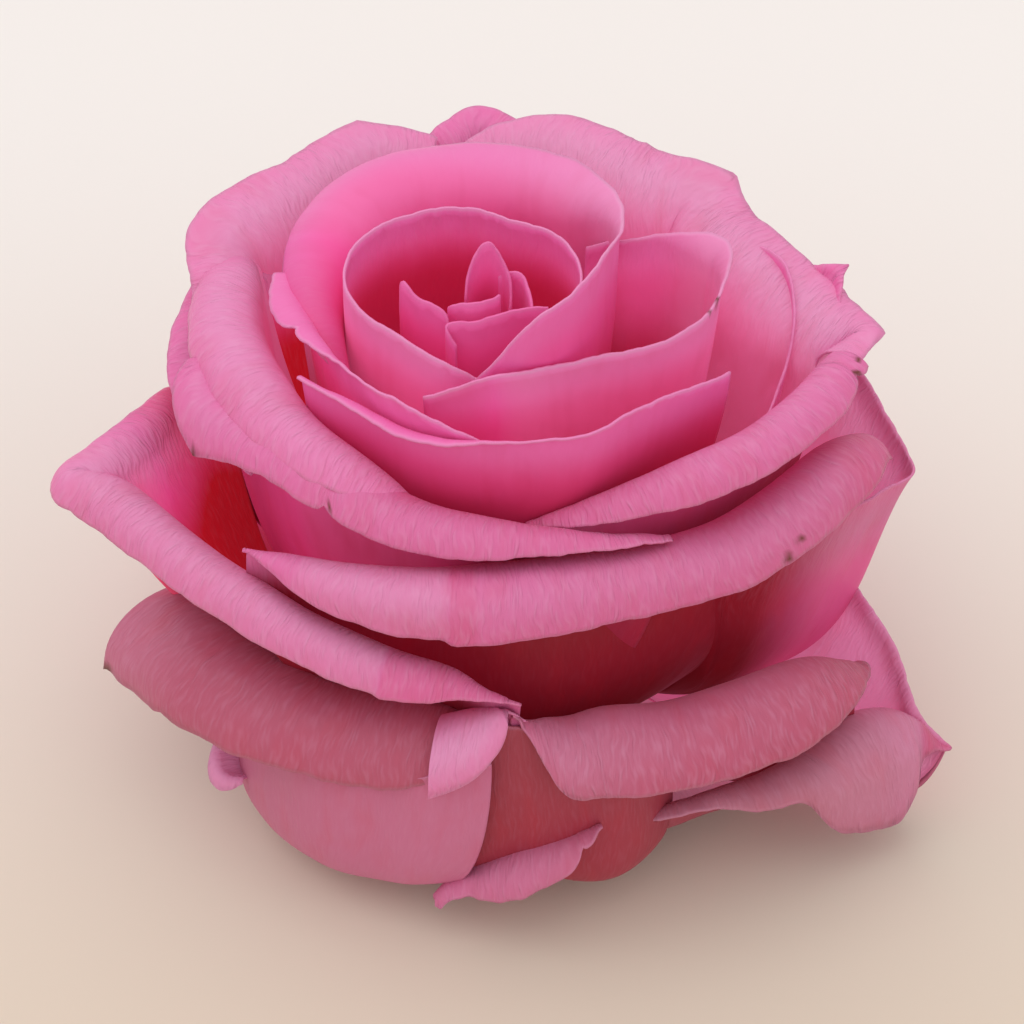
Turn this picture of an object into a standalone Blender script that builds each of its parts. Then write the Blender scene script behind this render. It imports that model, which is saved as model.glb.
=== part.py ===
"""Pink rose bloom, cut off just below its receptacle and set down upright.

Units are metres, +Z is up and the flower is seen from -Y. The origin is the centre of the
receptacle's cut face, which rests on the table with the tips of the sepals.

Every petal is one bent blade. Its shape is given by a few ribs, the lines that run from the
claw, where the petal grows, to its rim. A rib states its highest point and how the rim rolls
over there, and the blade passes smoothly through all of them.
"""

import math
from dataclasses import dataclass
from typing import NamedTuple

import bmesh
import bpy
import numpy as np

# Driving dimensions, in millimetres: MM turns them into metres.
MM = 0.001
PETAL_THICKNESS = 0.7
CLAW_HEIGHT = 13.4
GAP = 0.3

CORE_BASE_RADIUS = 6.0
CORE_WIDEST_RADIUS = 9.5
CORE_WIDEST_HEIGHT = 19.0
CORE_TOP_RADIUS = 3.0
CORE_TOP = 50.0
CORE_SIDES = 14

HIP_HEIGHT = 11.2
HIP_CUT_RADIUS = 4.2
HIP_NECK_RADIUS = 4.5
HIP_BELLY_RADIUS = 6.3
HIP_SHOULDER_RADIUS = 5.5
HIP_SIDES = 20

SEPALS = 5
SEPAL_HALF_WIDTH = 3.4
SEPAL_REACH = 18.5
SEPAL_THICKNESS = 0.8
SEPAL_FIRST_AZIMUTH = 18.0

# Cells of a petal's blank: across each gap between two ribs, along the belly, along the roll.
CELLS_PER_RIB = 0.85
BELLY_CELLS = 3
ROLL_CELLS = 3
RIM_CELLS = 1


class Rib(NamedTuple):
    """One line of a petal from its claw to its rim.

    azimuth, radius and height place its highest point: degrees from +X towards +Y, then mm.
    roll is the radius of the curl at the rim and end the direction the rim finally points,
    in degrees from straight up: 0 stands up, 90 points outwards, 180 points down.
    drop is the straight length that hangs past the curl.
    """

    azimuth: float
    radius: float
    height: float
    roll: float = 1.0
    end: float = 5.0
    drop: float = 0.0


@dataclass(frozen=True)
class Petal:
    """A petal: its ribs in order, and how its belly runs from the claw to them.

    claw is the azimuth where it grows, lean its wall's slope outwards below the curl and
    launch its direction at the claw, both in degrees from straight up. low is the radius and
    height that pull the belly out, more at the ribs that reach further where low_power is
    above zero and less where it is below. tips lists (rib, length, width) of points on the rim.
    """

    name: str
    claw: float
    ribs: tuple
    lean: float = 0.0
    launch: float = 50.0
    low: tuple = ()
    low_power: float = 0.6
    claw_radius: float = 5.0
    upper: float = 0.45
    centre: tuple = (0.0, 0.0)
    tips: tuple = ()


HEART = (-0.5, -2.5)

HEART_PETALS = (
    Petal(
        "heart_bud", claw=-110, launch=10, claw_radius=1, centre=HEART,
        ribs=(Rib(205, 5.2, 70.3), Rib(215, 4.4, 71), Rib(238, 3.2, 71.5), Rib(268, 2.4, 71.6),
              Rib(305, 1.9, 71.6)),
    ),
    Petal(
        "heart_tip", claw=80, launch=10, claw_radius=1, centre=HEART,
        ribs=(Rib(185, 2.8, 70), Rib(150, 2.5, 73.5), Rib(118, 2.2, 75.6), Rib(85, 2.1, 76),
              Rib(50, 2.2, 74.3), Rib(10, 2.4, 72), Rib(-25, 2.5, 69)),
    ),
    Petal(
        "heart_right", claw=10, launch=10, claw_radius=1, centre=HEART,
        ribs=(Rib(60, 1.9, 71.5), Rib(34, 2.6, 72.4), Rib(14, 3.8, 72.4), Rib(-8, 4.4, 71.8),
              Rib(-32, 5.6, 70.8)),
    ),
    Petal(
        "heart_left", claw=200, launch=15, claw_radius=2, centre=HEART,
        ribs=(Rib(174, 10.3, 67), Rib(181, 9.9, 72.4), Rib(191, 8.5, 71.7), Rib(201, 7.2, 71.3),
              Rib(211, 6.3, 71), Rib(219, 6, 70), Rib(227, 6.5, 68)),
    ),
    Petal(
        "heart_front", claw=-80, launch=15, claw_radius=2, centre=HEART,
        ribs=(Rib(238, 7, 68), Rib(226, 6.9, 69.7), Rib(230, 5.9, 70), Rib(243, 5, 70),
              Rib(262, 4.3, 70.4), Rib(285, 4.2, 70.9), Rib(306, 4.7, 71.2), Rib(322, 5.8, 71.4),
              Rib(333, 7.4, 71.2)),
    ),
)

CUP_PETALS = (
    Petal(
        "cup_left", claw=150, launch=25, claw_radius=3,
        ribs=(Rib(-12, 10, 71.5), Rib(35, 9.2, 72), Rib(78, 8.3, 72.5), Rib(110, 10, 73),
              Rib(140, 12.6, 73), Rib(163, 15.5, 72.8), Rib(183, 16.8, 71.3), Rib(200, 15.2, 70),
              Rib(220, 13.8, 69.7), Rib(243, 13, 68.5), Rib(262, 12, 66)),
    ),
    Petal(
        "cup_back", claw=60, lean=5, launch=25, claw_radius=3,
        ribs=(Rib(-100, 12.3, 66), Rib(-85, 13, 71), Rib(-70, 13.2, 75), Rib(-52, 12.6, 76),
              Rib(-30, 12, 76), Rib(-5, 12.4, 75.3, 1.2, 10), Rib(18, 15, 73, 2, 30),
              Rib(40, 19, 72, 3.5, 70), Rib(60, 20.5, 72, 5, 95), Rib(84, 20.5, 72, 5.5, 110),
              Rib(105, 21, 72, 6, 125), Rib(122, 22, 71.5, 6, 140), Rib(138, 22, 71, 6, 155),
              Rib(154, 20.5, 70, 6, 165), Rib(172, 19.3, 68, 5.2, 160), Rib(190, 18.6, 65.5, 4, 135),
              Rib(203, 18, 62, 2.5, 100), Rib(214, 17.4, 58, 1, 40)),
    ),
    Petal(
        "pocket", claw=-20, lean=4, launch=40, claw_radius=4,
        ribs=(Rib(45, 15, 66), Rib(33, 18, 68, 1, 15), Rib(28, 22.3, 68.3, 2, 40),
              Rib(23, 26.6, 68.5, 3.5, 65), Rib(17, 28.6, 68.2, 3.5, 70), Rib(9, 27, 67, 2.5, 45),
              Rib(0, 24.8, 66, 1, 15), Rib(-10, 22, 66), Rib(-22, 18.5, 66.3), Rib(-38, 15.3, 67.2),
              Rib(-60, 13.8, 68), Rib(-85, 14.3, 69), Rib(-101, 15, 68), Rib(-118, 16.8, 66)),
    ),
    Petal(
        "left_inner", claw=215, lean=6, launch=40, claw_radius=4,
        ribs=(Rib(168, 25.2, 66.8, 2.5, 110), Rib(184, 23.7, 67.3, 2.5, 130),
              Rib(199, 22, 67.3, 2, 110), Rib(216, 20.2, 67, 1, 60), Rib(236, 19.2, 66.5, 1, 20),
              Rib(251, 18.8, 65, 1, 10), Rib(268, 18.9, 62.5)),
    ),
    Petal(
        "front_inner", claw=-85, lean=4, launch=45, claw_radius=4,
        ribs=(Rib(-152, 25, 66, 1, 90), Rib(-137, 22, 64.7, 1.2, 110), Rib(-120, 20.9, 63.6, 1.4, 120),
              Rib(-103, 20.4, 63.6, 1.3, 110), Rib(-87, 20.3, 64, 1, 80), Rib(-72, 20.9, 64.1, 1, 50),
              Rib(-57, 21.6, 64.1, 1, 30), Rib(-42, 22.3, 64.5, 1, 20), Rib(-26, 24.4, 63.4, 1, 10),
              Rib(-12, 27.4, 61.5)),
    ),
    Petal(
        "right_inner", claw=5, lean=5, launch=50,
        ribs=(Rib(28, 34, 62, 1, 10), Rib(21, 36, 62.5, 1, 10), Rib(14.5, 36.2, 60.5, 1, 10),
              Rib(9, 35.4, 57.8, 1, 10), Rib(4, 34.2, 54.5, 1, 10), Rib(-3, 32.4, 52.3, 1, 10),
              Rib(-13, 30.5, 51.5, 1, 15), Rib(-24, 28, 50.5, 1, 20)),
    ),
)

ROLLED_PETALS = (
    Petal(
        "left_roll", claw=195, lean=8, launch=55,
        ribs=(Rib(157, 32, 62.6, 1.5, 120), Rib(166, 31.6, 65.3, 3.4, 150), Rib(178, 31, 66.2, 4.3, 165),
              Rib(190, 30.2, 66, 4.5, 165), Rib(202, 28.8, 64.8, 4.5, 165),
              Rib(216, 26.6, 62, 4.2, 160), Rib(230, 24.3, 58.8, 3.5, 150),
              Rib(243, 22.8, 55, 2.5, 130)),
    ),
    Petal(
        "front_left", claw=250, low=(22, 13), low_power=0, upper=0.5, tips=((1.3, 2.5, 0.35),),
        ribs=(Rib(190, 34, 63.8, 3, 120), Rib(198, 33.4, 62.8, 4.5, 160), Rib(211, 29.6, 60.8, 4, 160),
              Rib(229, 25.6, 58, 4, 165), Rib(250, 23.8, 55.5, 3.8, 170), Rib(271, 23.8, 54.3, 3, 165),
              Rib(291, 25.6, 53, 2, 150), Rib(312, 29.8, 51, 1, 120)),
    ),
    Petal(
        "right_front", claw=-35, lean=5, launch=65,
        ribs=(Rib(-80, 20.5, 51, 1, 120), Rib(-68, 22.2, 53.5, 1.8, 150), Rib(-50, 25.8, 56.8, 2.8, 165),
              Rib(-36, 30, 59, 3.3, 170), Rib(-23, 34.3, 60.5, 3.5, 170), Rib(-11, 38.2, 61, 3.3, 165),
              Rib(-3.5, 40.8, 61.2, 2.6, 150)),
    ),
    Petal(
        "right_back", claw=45, lean=10, launch=55, tips=((4.2, 1.8, 0.25), (8.0, 1.2, 0.25)),
        ribs=(Rib(97, 30.3, 66, 5, 90), Rib(84, 33.2, 67, 6, 100), Rib(70, 32.8, 67, 8, 105),
              Rib(57, 32.2, 66.3, 9, 105), Rib(44, 35.3, 65.4, 9, 100), Rib(33, 34.4, 63.7, 9, 105),
              Rib(21, 37.2, 61, 8.5, 110), Rib(12, 41.2, 58.8, 7, 108), Rib(7.5, 43.8, 57.2, 4, 108),
              Rib(2, 40.6, 57.4, 3.4, 125)),
    ),
    Petal(
        "left_back", claw=140, lean=10, launch=55, tips=((1.0, 2, 0.3),),
        ribs=(Rib(103, 31.3, 66, 6, 95), Rib(117, 34.8, 67, 7, 100), Rib(130, 34.6, 66, 8, 105),
              Rib(141, 35.9, 65.5, 8, 105), Rib(150, 37.4, 65, 8, 108), Rib(158, 37, 64.5, 7, 108),
              Rib(167, 33.4, 63.5, 6, 118), Rib(177, 32.2, 62, 5, 130)),
    ),
    Petal(
        "back_tip", claw=92, lean=15, launch=55,
        ribs=(Rib(108, 32, 64, 5, 90), Rib(100, 34.8, 65.5, 5, 95), Rib(93, 36.8, 66, 5, 95),
              Rib(84, 34, 65, 5, 95), Rib(75, 32, 63, 5, 90)),
    ),
    Petal(
        "left_low", claw=180, lean=10, launch=60,
        ribs=(Rib(148, 33, 60, 5, 110), Rib(162, 34.5, 60.5, 5, 120), Rib(176, 35, 59, 5, 130),
              Rib(189, 34, 56, 4, 130), Rib(203, 30, 51, 3, 100)),
    ),
)

OPEN_PETALS = (
    Petal(
        "right_tip", claw=15, lean=25, launch=60, tips=((2, 1.5, 0.2),),
        ribs=(Rib(27, 39, 57, 1, 60), Rib(21, 40.6, 59.8, 1, 70), Rib(17, 42.4, 61, 1, 75),
              Rib(12, 41.8, 58.5, 1, 70), Rib(5, 41, 54, 1, 60)),
    ),
    Petal(
        "left_open", claw=225, lean=10, low=(27, 9), upper=0.4,
        ribs=(Rib(172, 35, 50.5, 3, 100), Rib(180, 39, 53, 3, 110), Rib(188, 44, 52.5, 3.5, 130),
              Rib(192.5, 49.5, 51, 3.5, 165), Rib(197, 46.5, 50.3, 3.8, 170), Rib(206, 42, 48.3, 3.9, 175),
              Rib(219, 38, 45.8, 3.8, 175), Rib(232, 35.3, 43.2, 3.7, 175), Rib(245, 33.6, 40.8, 3.5, 172),
              Rib(254, 32.9, 39.9, 3.2, 170), Rib(261, 32.4, 39, 2.6, 165), Rib(268, 33, 37.4, 1.4, 150),
              Rib(275, 33.6, 35, 0.6, 90)),
    ),
    Petal(
        "front_lip", claw=275, lean=-14, low=(26, 9), low_power=-0.9, tips=((10, 1.6, 0.35),),
        ribs=(Rib(218, 36, 50.5, 1, 140), Rib(229, 33.5, 50, 3.2, 170), Rib(244, 30.5, 49.8, 4.8, 180),
              Rib(259, 28.4, 50, 5.5, 183), Rib(277, 27.2, 49.8, 5.2, 183), Rib(295, 27.8, 49.8, 5, 180),
              Rib(311, 30.6, 50, 5, 180), Rib(324, 34.2, 50.6, 5.2, 175), Rib(336, 38.1, 52.4, 5, 175),
              Rib(345.5, 41.8, 53.6, 4.2, 165), Rib(350.2, 44, 52.6, 2.4, 140)),
    ),
    Petal(
        "right_cup", claw=-20, lean=20, low=(43, 6), upper=0.4,
        ribs=(Rib(25, 40, 50, 3, 40), Rib(12, 43, 51, 3, 40), Rib(2, 46.3, 48, 3, 35),
              Rib(-4.5, 49.6, 44.5, 2, 30), Rib(-10, 47, 45.3, 1, 30), Rib(-18, 43.5, 47.3, 1, 25),
              Rib(-25, 40, 47.5, 1, 22), Rib(-30, 36.5, 46.5, 1, 22), Rib(-36, 29, 44, 1, 22)),
    ),
    Petal(
        "right_lip", claw=-60, lean=-10, low=(36, 5), upper=0.5,
        ribs=(Rib(-86.6, 33.8, 33.4, 0.8, 60), Rib(-83, 33.8, 31.8, 2, 150), Rib(-80, 33.8, 30.8, 3.8, 170),
              Rib(-76.6, 33.9, 30, 5, 175, 1), Rib(-72, 34.1, 29.9, 5.4, 178, 0.6),
              Rib(-66, 35, 30.5, 6, 180), Rib(-53, 38, 30.6, 6.1, 180), Rib(-41, 41.8, 31.4, 5.8, 180),
              Rib(-33, 45, 31.6, 5, 170), Rib(-28.5, 47.4, 30, 3.6, 140), Rib(-25.5, 49.2, 28.2, 3, 95)),
    ),
    Petal(
        "front_flap", claw=-90, lean=-12, low=(40, 1), upper=0.5,
        ribs=(Rib(-101.2, 34.3, 31.6, 4.8, 172, 2.4), Rib(-97.5, 34.3, 32.6, 4.8, 172, 1.8),
              Rib(-93.7, 34.3, 33.4, 4.6, 172, 0.8), Rib(-90.4, 34.2, 34, 3.6, 168),
              Rib(-88.4, 34, 34.4, 2, 150), Rib(-86.6, 33.6, 33.8, 0.8, 60), Rib(-82, 33, 31, 0.8, 20)),
    ),
)

OUTER_PETALS = (
    Petal(
        "left_outer", claw=228, lean=-12, low=(32, 6), low_power=-0.4, upper=0.5,
        tips=((0, 1.5, 0.15),),
        ribs=(Rib(195, 41, 30.5, 8.5, 172, 0.5), Rib(204, 38.8, 31, 8.3, 175, 1.6),
              Rib(215, 37, 30.8, 7.7, 175, 0.8), Rib(231, 34.6, 30.5, 7, 175), Rib(244, 32.8, 30.5, 7, 175),
              Rib(254, 32, 30.5, 6.5, 172), Rib(262, 32.3, 30, 5, 165), Rib(267, 32.6, 29, 4, 150)),
    ),
    Petal(
        "right_outer", claw=-25, lean=15, low=(38, 2), low_power=0.3, upper=0.4,
        ribs=(Rib(8, 40, 25, 2, 60), Rib(-7, 44.3, 26, 1.5, 55), Rib(-13, 48.8, 23.5, 1.5, 60),
              Rib(-17.5, 52.4, 19.5, 1.5, 70), Rib(-20, 55.2, 16.5, 1, 85), Rib(-21.3, 59, 14.2, 0.8, 100),
              Rib(-22, 55.6, 16.4, 2, 150, 1), Rib(-22.8, 53, 18, 4, 168, 4.2),
              Rib(-25, 50.4, 19, 4.8, 170, 8.3), Rib(-28.5, 48.3, 18.8, 4.8, 170, 8.6),
              Rib(-34.5, 46, 17.6, 4.2, 168, 5.4), Rib(-37.6, 44.6, 16.7, 3.4, 160, 0.6),
              Rib(-43, 42, 15.6, 2.6, 155, 0.5), Rib(-49, 39.5, 15, 2, 140), Rib(-60, 37, 14, 1.5, 120)),
    ),
    Petal(
        "low_left", claw=235, lean=-9, low=(44, -6), low_power=1, upper=0.5,
        ribs=(Rib(206, 35, 19, 1, 40), Rib(215, 36.4, 21, 1, 40), Rib(227, 37.6, 23, 1, 30),
              Rib(240, 38.4, 25, 1, 20), Rib(251, 37.8, 25.5, 1, 20), Rib(260, 37.8, 27.5, 1, 20),
              Rib(269.5, 36.8, 29, 1, 20)),
    ),
    Petal(
        "low_front", claw=-80, lean=-10, low=(47, -6), low_power=0.7, upper=0.5,
        ribs=(Rib(-106, 33, 25, 1, 20), Rib(-99, 33.4, 29.5, 1, 15), Rib(-92, 33.6, 33, 1, 5),
              Rib(-86, 33.7, 33, 1, 5), Rib(-79, 34.6, 30.5, 1, 15), Rib(-69, 35.8, 28, 1, 20),
              Rib(-61, 35.4, 26.5, 1, 20), Rib(-52, 33, 24, 1, 20)),
    ),
    Petal(
        "front_low", claw=-80, lean=-4, low=(33, 5), upper=0.12, tips=((0.2, 1.3, 0.4),),
        ribs=(Rib(-101, 38.6, 6.6, 1, 140), Rib(-96, 37.4, 9.2, 2, 165), Rib(-89, 37.3, 11.7, 3.2, 175),
              Rib(-82, 38, 14, 3.2, 175), Rib(-76, 38.8, 16.2, 2.6, 160), Rib(-71, 39, 17.6, 1, 90)),
    ),
)


def plain_petal(name, middle, half_spread, radius, height, roll=4.0, end=150.0):
    """A petal of the hidden back, the same on both sides of its middle azimuth."""
    ribs = []
    for share in (-1.0, -0.67, -0.33, 0.0, 0.33, 0.67, 1.0):
        side = share * share
        ribs.append(
            Rib(
                middle + share * half_spread,
                radius - 3.5 * side,
                height - 6.0 * side,
                roll * (1.0 - 0.4 * side),
                end - 40.0 * side,
            )
        )
    low = (0.75 * radius, 0.16 * height)
    return Petal(name, middle, tuple(ribs), lean=8, low=low, upper=0.4)


BACK_PETALS = (
    plain_petal("back_shoulder", 88, 38, 38, 59),
    plain_petal("back_open_right", 44, 38, 41.5, 52),
    plain_petal("back_open_left", 134, 38, 40.5, 51),
    plain_petal("back_middle", 92, 38, 44, 43),
    plain_petal("right_side", 26, 32, 43, 37),
    plain_petal("left_side", 160, 32, 40, 38),
    plain_petal("back_low_right", 54, 38, 45, 29),
    plain_petal("back_low_left", 138, 38, 44.5, 30),
    plain_petal("back_low", 97, 38, 47, 20),
)

ALL_PETALS = HEART_PETALS + CUP_PETALS + ROLLED_PETALS + OPEN_PETALS + OUTER_PETALS + BACK_PETALS


def clear_scene():
    for obj in list(bpy.data.objects):
        bpy.data.objects.remove(obj, do_unlink=True)


def material(name, colour, roughness):
    made = bpy.data.materials.new(name)
    made.use_nodes = True
    shader = made.node_tree.nodes["Principled BSDF"]
    shader.inputs["Base Color"].default_value = (*colour, 1.0)
    shader.inputs["Roughness"].default_value = roughness
    made.diffuse_color = (*colour, 1.0)
    return made


def natural_spline(values, places):
    """A natural cubic spline through values at 0, 1, 2 and so on, read at the places."""
    values = np.asarray(values, float)
    count = len(values)
    rows = np.zeros((count, count))
    bends = np.zeros(count)
    rows[0, 0] = 1.0
    rows[-1, -1] = 1.0
    for i in range(1, count - 1):
        rows[i, i - 1 : i + 2] = (1.0, 4.0, 1.0)
        bends[i] = 6.0 * (values[i - 1] - 2.0 * values[i] + values[i + 1])
    bends = np.linalg.solve(rows, bends)
    i = np.clip(np.floor(places).astype(int), 0, count - 2)
    after = places - i
    before = 1.0 - after
    straight = before * values[i] + after * values[i + 1]
    bent = (before**3 - before) * bends[i] + (after**3 - after) * bends[i + 1]
    return straight + bent / 6.0


def unit(vectors):
    return vectors / np.linalg.norm(vectors, axis=-1, keepdims=True)


def ring(azimuth):
    """Unit vectors outwards and along the circle at these azimuths."""
    zero = np.zeros_like(azimuth)
    outwards = np.stack([np.cos(azimuth), np.sin(azimuth), zero], 1)
    around = np.stack([-np.sin(azimuth), np.cos(azimuth), zero], 1)
    return outwards, around


def rim_directions(azimuth, top, lean):
    """Up the wall and away from it, at each rib, square to the run of the rim."""
    outwards, around = ring(azimuth)
    run = unit(np.gradient(top, axis=0)) * (1.0, 1.0, 0.0)
    way = np.sign((run * around).sum())
    run = unit(run + 0.35 * way * around)
    away = np.stack([run[:, 1], -run[:, 0], np.zeros(len(run))], 1)
    if (away * outwards).sum() < 0.0:
        away = -away
    up = np.array([0.0, 0.0, 1.0])
    rise = math.sin(lean) * away + math.cos(lean) * up
    return rise, math.cos(lean) * away - math.sin(lean) * up


def belly_points(petal, azimuth, start, rise, shares):
    """The belly: a Bezier curve in azimuth, radius and height from the claw to each start."""
    outwards, _ = ring(azimuth)
    to_start = (start[:, 0] + 1j * start[:, 1]) * np.exp(-1j * azimuth)
    start_azimuth = azimuth + np.angle(to_start)
    start_radius = np.hypot(start[:, 0], start[:, 1])
    start_height = start[:, 2]
    middle = (azimuth.max() + azimuth.min()) / 2.0
    claw = math.radians(petal.claw)
    claw += 2.0 * math.pi * round((middle - claw) / (2.0 * math.pi))
    claw = claw + 0.3 * (azimuth - middle)
    chord = np.hypot(start_radius - petal.claw_radius, start_height - CLAW_HEIGHT)
    launch = math.radians(petal.launch)
    low_radius = petal.claw_radius + 0.45 * chord * math.sin(launch)
    low_height = CLAW_HEIGHT + 0.45 * chord * math.cos(launch)
    if petal.low:
        low_radius = petal.low[0] * (start_radius / start_radius.mean()) ** petal.low_power
        low_height = np.full(len(azimuth), float(petal.low[1]))
    wall = petal.upper * chord
    controls = (
        (claw, np.full(len(azimuth), petal.claw_radius), np.full(len(azimuth), CLAW_HEIGHT)),
        (claw + 0.55 * (start_azimuth - claw), low_radius, low_height),
        (start_azimuth, start_radius - wall * (rise * outwards).sum(1), start_height - wall * rise[:, 2]),
        (start_azimuth, start_radius, start_height),
    )
    t = shares[:, None]
    weights = ((1 - t) ** 3, 3 * t * (1 - t) ** 2, 3 * t**2 * (1 - t), t**3)
    turned, radius, height = (
        sum(weight * control[k] for weight, control in zip(weights, controls)) for k in range(3)
    )
    radius = np.maximum(radius, 0.5)
    return np.stack([radius * np.cos(turned), radius * np.sin(turned), height], 2)


def petal_points(petal, across, belly_cells, roll_cells):
    """Points of the petal's middle surface, in mm, as (rows from claw to rim, ribs across, 3)."""
    ribs = np.array(petal.ribs, float)
    places = np.linspace(0.0, len(ribs) - 1.0, across + 1)
    azimuth, radius, height, roll, end, drop = (natural_spline(ribs[:, k], places) for k in range(6))
    roll = np.maximum(roll, 0.3)
    drop = np.maximum(drop, 0.0)
    for place, length, width in petal.tips:
        drop = drop + length * np.exp(-np.abs(places - place) / width)
    azimuth = np.radians(azimuth)
    lean = math.radians(petal.lean)
    turn = np.maximum(np.radians(end) - lean, 0.02)
    top = np.stack([radius * np.cos(azimuth), radius * np.sin(azimuth), height], 1)
    rise, away = rim_directions(azimuth, top, lean)
    to_top = np.minimum(turn, math.pi / 2.0 - lean)
    back = rise * np.sin(to_top)[:, None] + away * (1.0 - np.cos(to_top))[:, None]
    start = top - roll[:, None] * back
    belly = belly_points(petal, azimuth, start, rise, np.linspace(0.0, 1.0, belly_cells + 1)[:-1])
    arc = roll * turn
    run = np.linspace(0.0, 1.0, roll_cells + 1)[:, None] * (arc + drop)
    angle = np.minimum(run, arc) / roll
    past = np.maximum(run - arc, 0.0)[..., None]
    final = rise * np.cos(turn)[:, None] + away * np.sin(turn)[:, None]
    curl = rise * np.sin(angle)[..., None] + away * (1.0 - np.cos(angle))[..., None]
    rolled = start + roll[:, None] * curl + past * final
    points = np.concatenate([belly, rolled])
    share = np.clip((points[..., 2] - CLAW_HEIGHT) / 40.0, 0.0, 1.0)
    points[..., 0] += petal.centre[0] * share
    points[..., 1] += petal.centre[1] * share
    return points


def bent_blade(name, points, thickness):
    """A closed blade: a grid laid on the points and thickened by a Solidify modifier."""
    rows, columns, _ = points.shape
    blank = bmesh.new()
    bmesh.ops.create_grid(blank, x_segments=columns - 1, y_segments=rows - 1, size=1.0)
    for vert in blank.verts:
        column = round((vert.co.x + 1.0) / 2.0 * (columns - 1))
        row = round((vert.co.y + 1.0) / 2.0 * (rows - 1))
        vert.co = points[row, column] * MM
    bmesh.ops.triangulate(blank, faces=blank.faces[:])
    mesh = bpy.data.meshes.new(name)
    blank.to_mesh(mesh)
    blank.free()
    blade = bpy.data.objects.new(name, mesh)
    solidify = blade.modifiers.new("thickness", "SOLIDIFY")
    solidify.thickness = thickness * MM
    solidify.offset = 0.0
    return blade


def rolls_over(petal):
    return max(rib.end for rib in petal.ribs) > 60.0


def petal_blade(petal):
    across = max(4, round((len(petal.ribs) - 1) * CELLS_PER_RIB))
    belly_cells = BELLY_CELLS if petal.low else BELLY_CELLS - 1
    roll_cells = ROLL_CELLS if rolls_over(petal) else RIM_CELLS
    points = petal_points(petal, across, belly_cells, roll_cells)
    return bent_blade(petal.name, points, PETAL_THICKNESS)


def turned(name, outline, sides):
    """A closed body turned about the Z axis from an outline of (radius, height) in mm."""
    mesh = bpy.data.meshes.new(name)
    verts = [(radius * MM, 0.0, height * MM) for radius, height in outline]
    mesh.from_pydata(verts, [(i, i + 1) for i in range(len(verts) - 1)], [])
    body = bpy.data.objects.new(name, mesh)
    bpy.context.scene.collection.objects.link(body)
    screw = body.modifiers.new("turn", "SCREW")
    screw.steps = sides
    screw.render_steps = sides
    screw.use_merge_vertices = True
    screw.merge_threshold = 0.00001
    screw.use_normal_calculate = True
    apply_modifiers(body)
    return body


def core():
    """The hidden core that every claw is rooted in."""
    bottom = HIP_HEIGHT + GAP
    outline = (
        (0.0, bottom),
        (CORE_BASE_RADIUS, bottom),
        (CORE_WIDEST_RADIUS - 1.2, bottom + 3.0),
        (CORE_WIDEST_RADIUS, CORE_WIDEST_HEIGHT),
        (CORE_WIDEST_RADIUS - 1.5, CORE_WIDEST_HEIGHT + 10.0),
        (CORE_TOP_RADIUS, CORE_TOP),
        (0.0, CORE_TOP),
    )
    return turned("bloom", outline, CORE_SIDES)


def hip():
    """The receptacle, from its cut face up to the seat of the petals."""
    outline = (
        (0.0, 0.0),
        (HIP_CUT_RADIUS, 0.0),
        (HIP_NECK_RADIUS, 1.6),
        (HIP_BELLY_RADIUS - 0.5, 3.8),
        (HIP_BELLY_RADIUS, 6.0),
        (HIP_BELLY_RADIUS - 0.4, 8.0),
        (HIP_SHOULDER_RADIUS, 9.6),
        (HIP_SHOULDER_RADIUS + 0.2, HIP_HEIGHT),
        (0.0, HIP_HEIGHT),
    )
    return turned("calyx", outline, HIP_SIDES)


def apply_modifiers(obj):
    bpy.context.view_layer.update()
    graph = bpy.context.evaluated_depsgraph_get()
    mesh = bpy.data.meshes.new_from_object(obj.evaluated_get(graph))
    old = obj.data
    obj.modifiers.clear()
    obj.data = mesh
    mesh.name = obj.name
    bpy.data.meshes.remove(old)


def keep_largest_shell(obj):
    """Drops what a union leaves loose: sealed hollows and scraps."""
    shape = bmesh.new()
    shape.from_mesh(obj.data)
    shells = []
    seen = set()
    for first in shape.verts:
        if first in seen:
            continue
        shell = [first]
        seen.add(first)
        for vert in shell:
            for edge in vert.link_edges:
                other = edge.other_vert(vert)
                if other not in seen:
                    seen.add(other)
                    shell.append(other)
        shells.append(shell)
    shells.sort(key=len)
    for shell in shells[:-1]:
        bmesh.ops.delete(shape, geom=shell, context="VERTS")
    shape.to_mesh(obj.data)
    shape.free()


def fuse(base, blades):
    """One body of the base and all the blades."""
    group = bpy.data.collections.new(f"{base.name}_blades")
    bpy.context.scene.collection.children.link(group)
    for blade in blades:
        group.objects.link(blade)
    union = base.modifiers.new("union", "BOOLEAN")
    union.operation = "UNION"
    union.operand_type = "COLLECTION"
    union.collection = group
    union.solver = "MANIFOLD"
    apply_modifiers(base)
    for blade in blades:
        bpy.data.objects.remove(blade, do_unlink=True)
    bpy.data.collections.remove(group)
    keep_largest_shell(base)
    base.data.shade_smooth()
    return base


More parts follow.
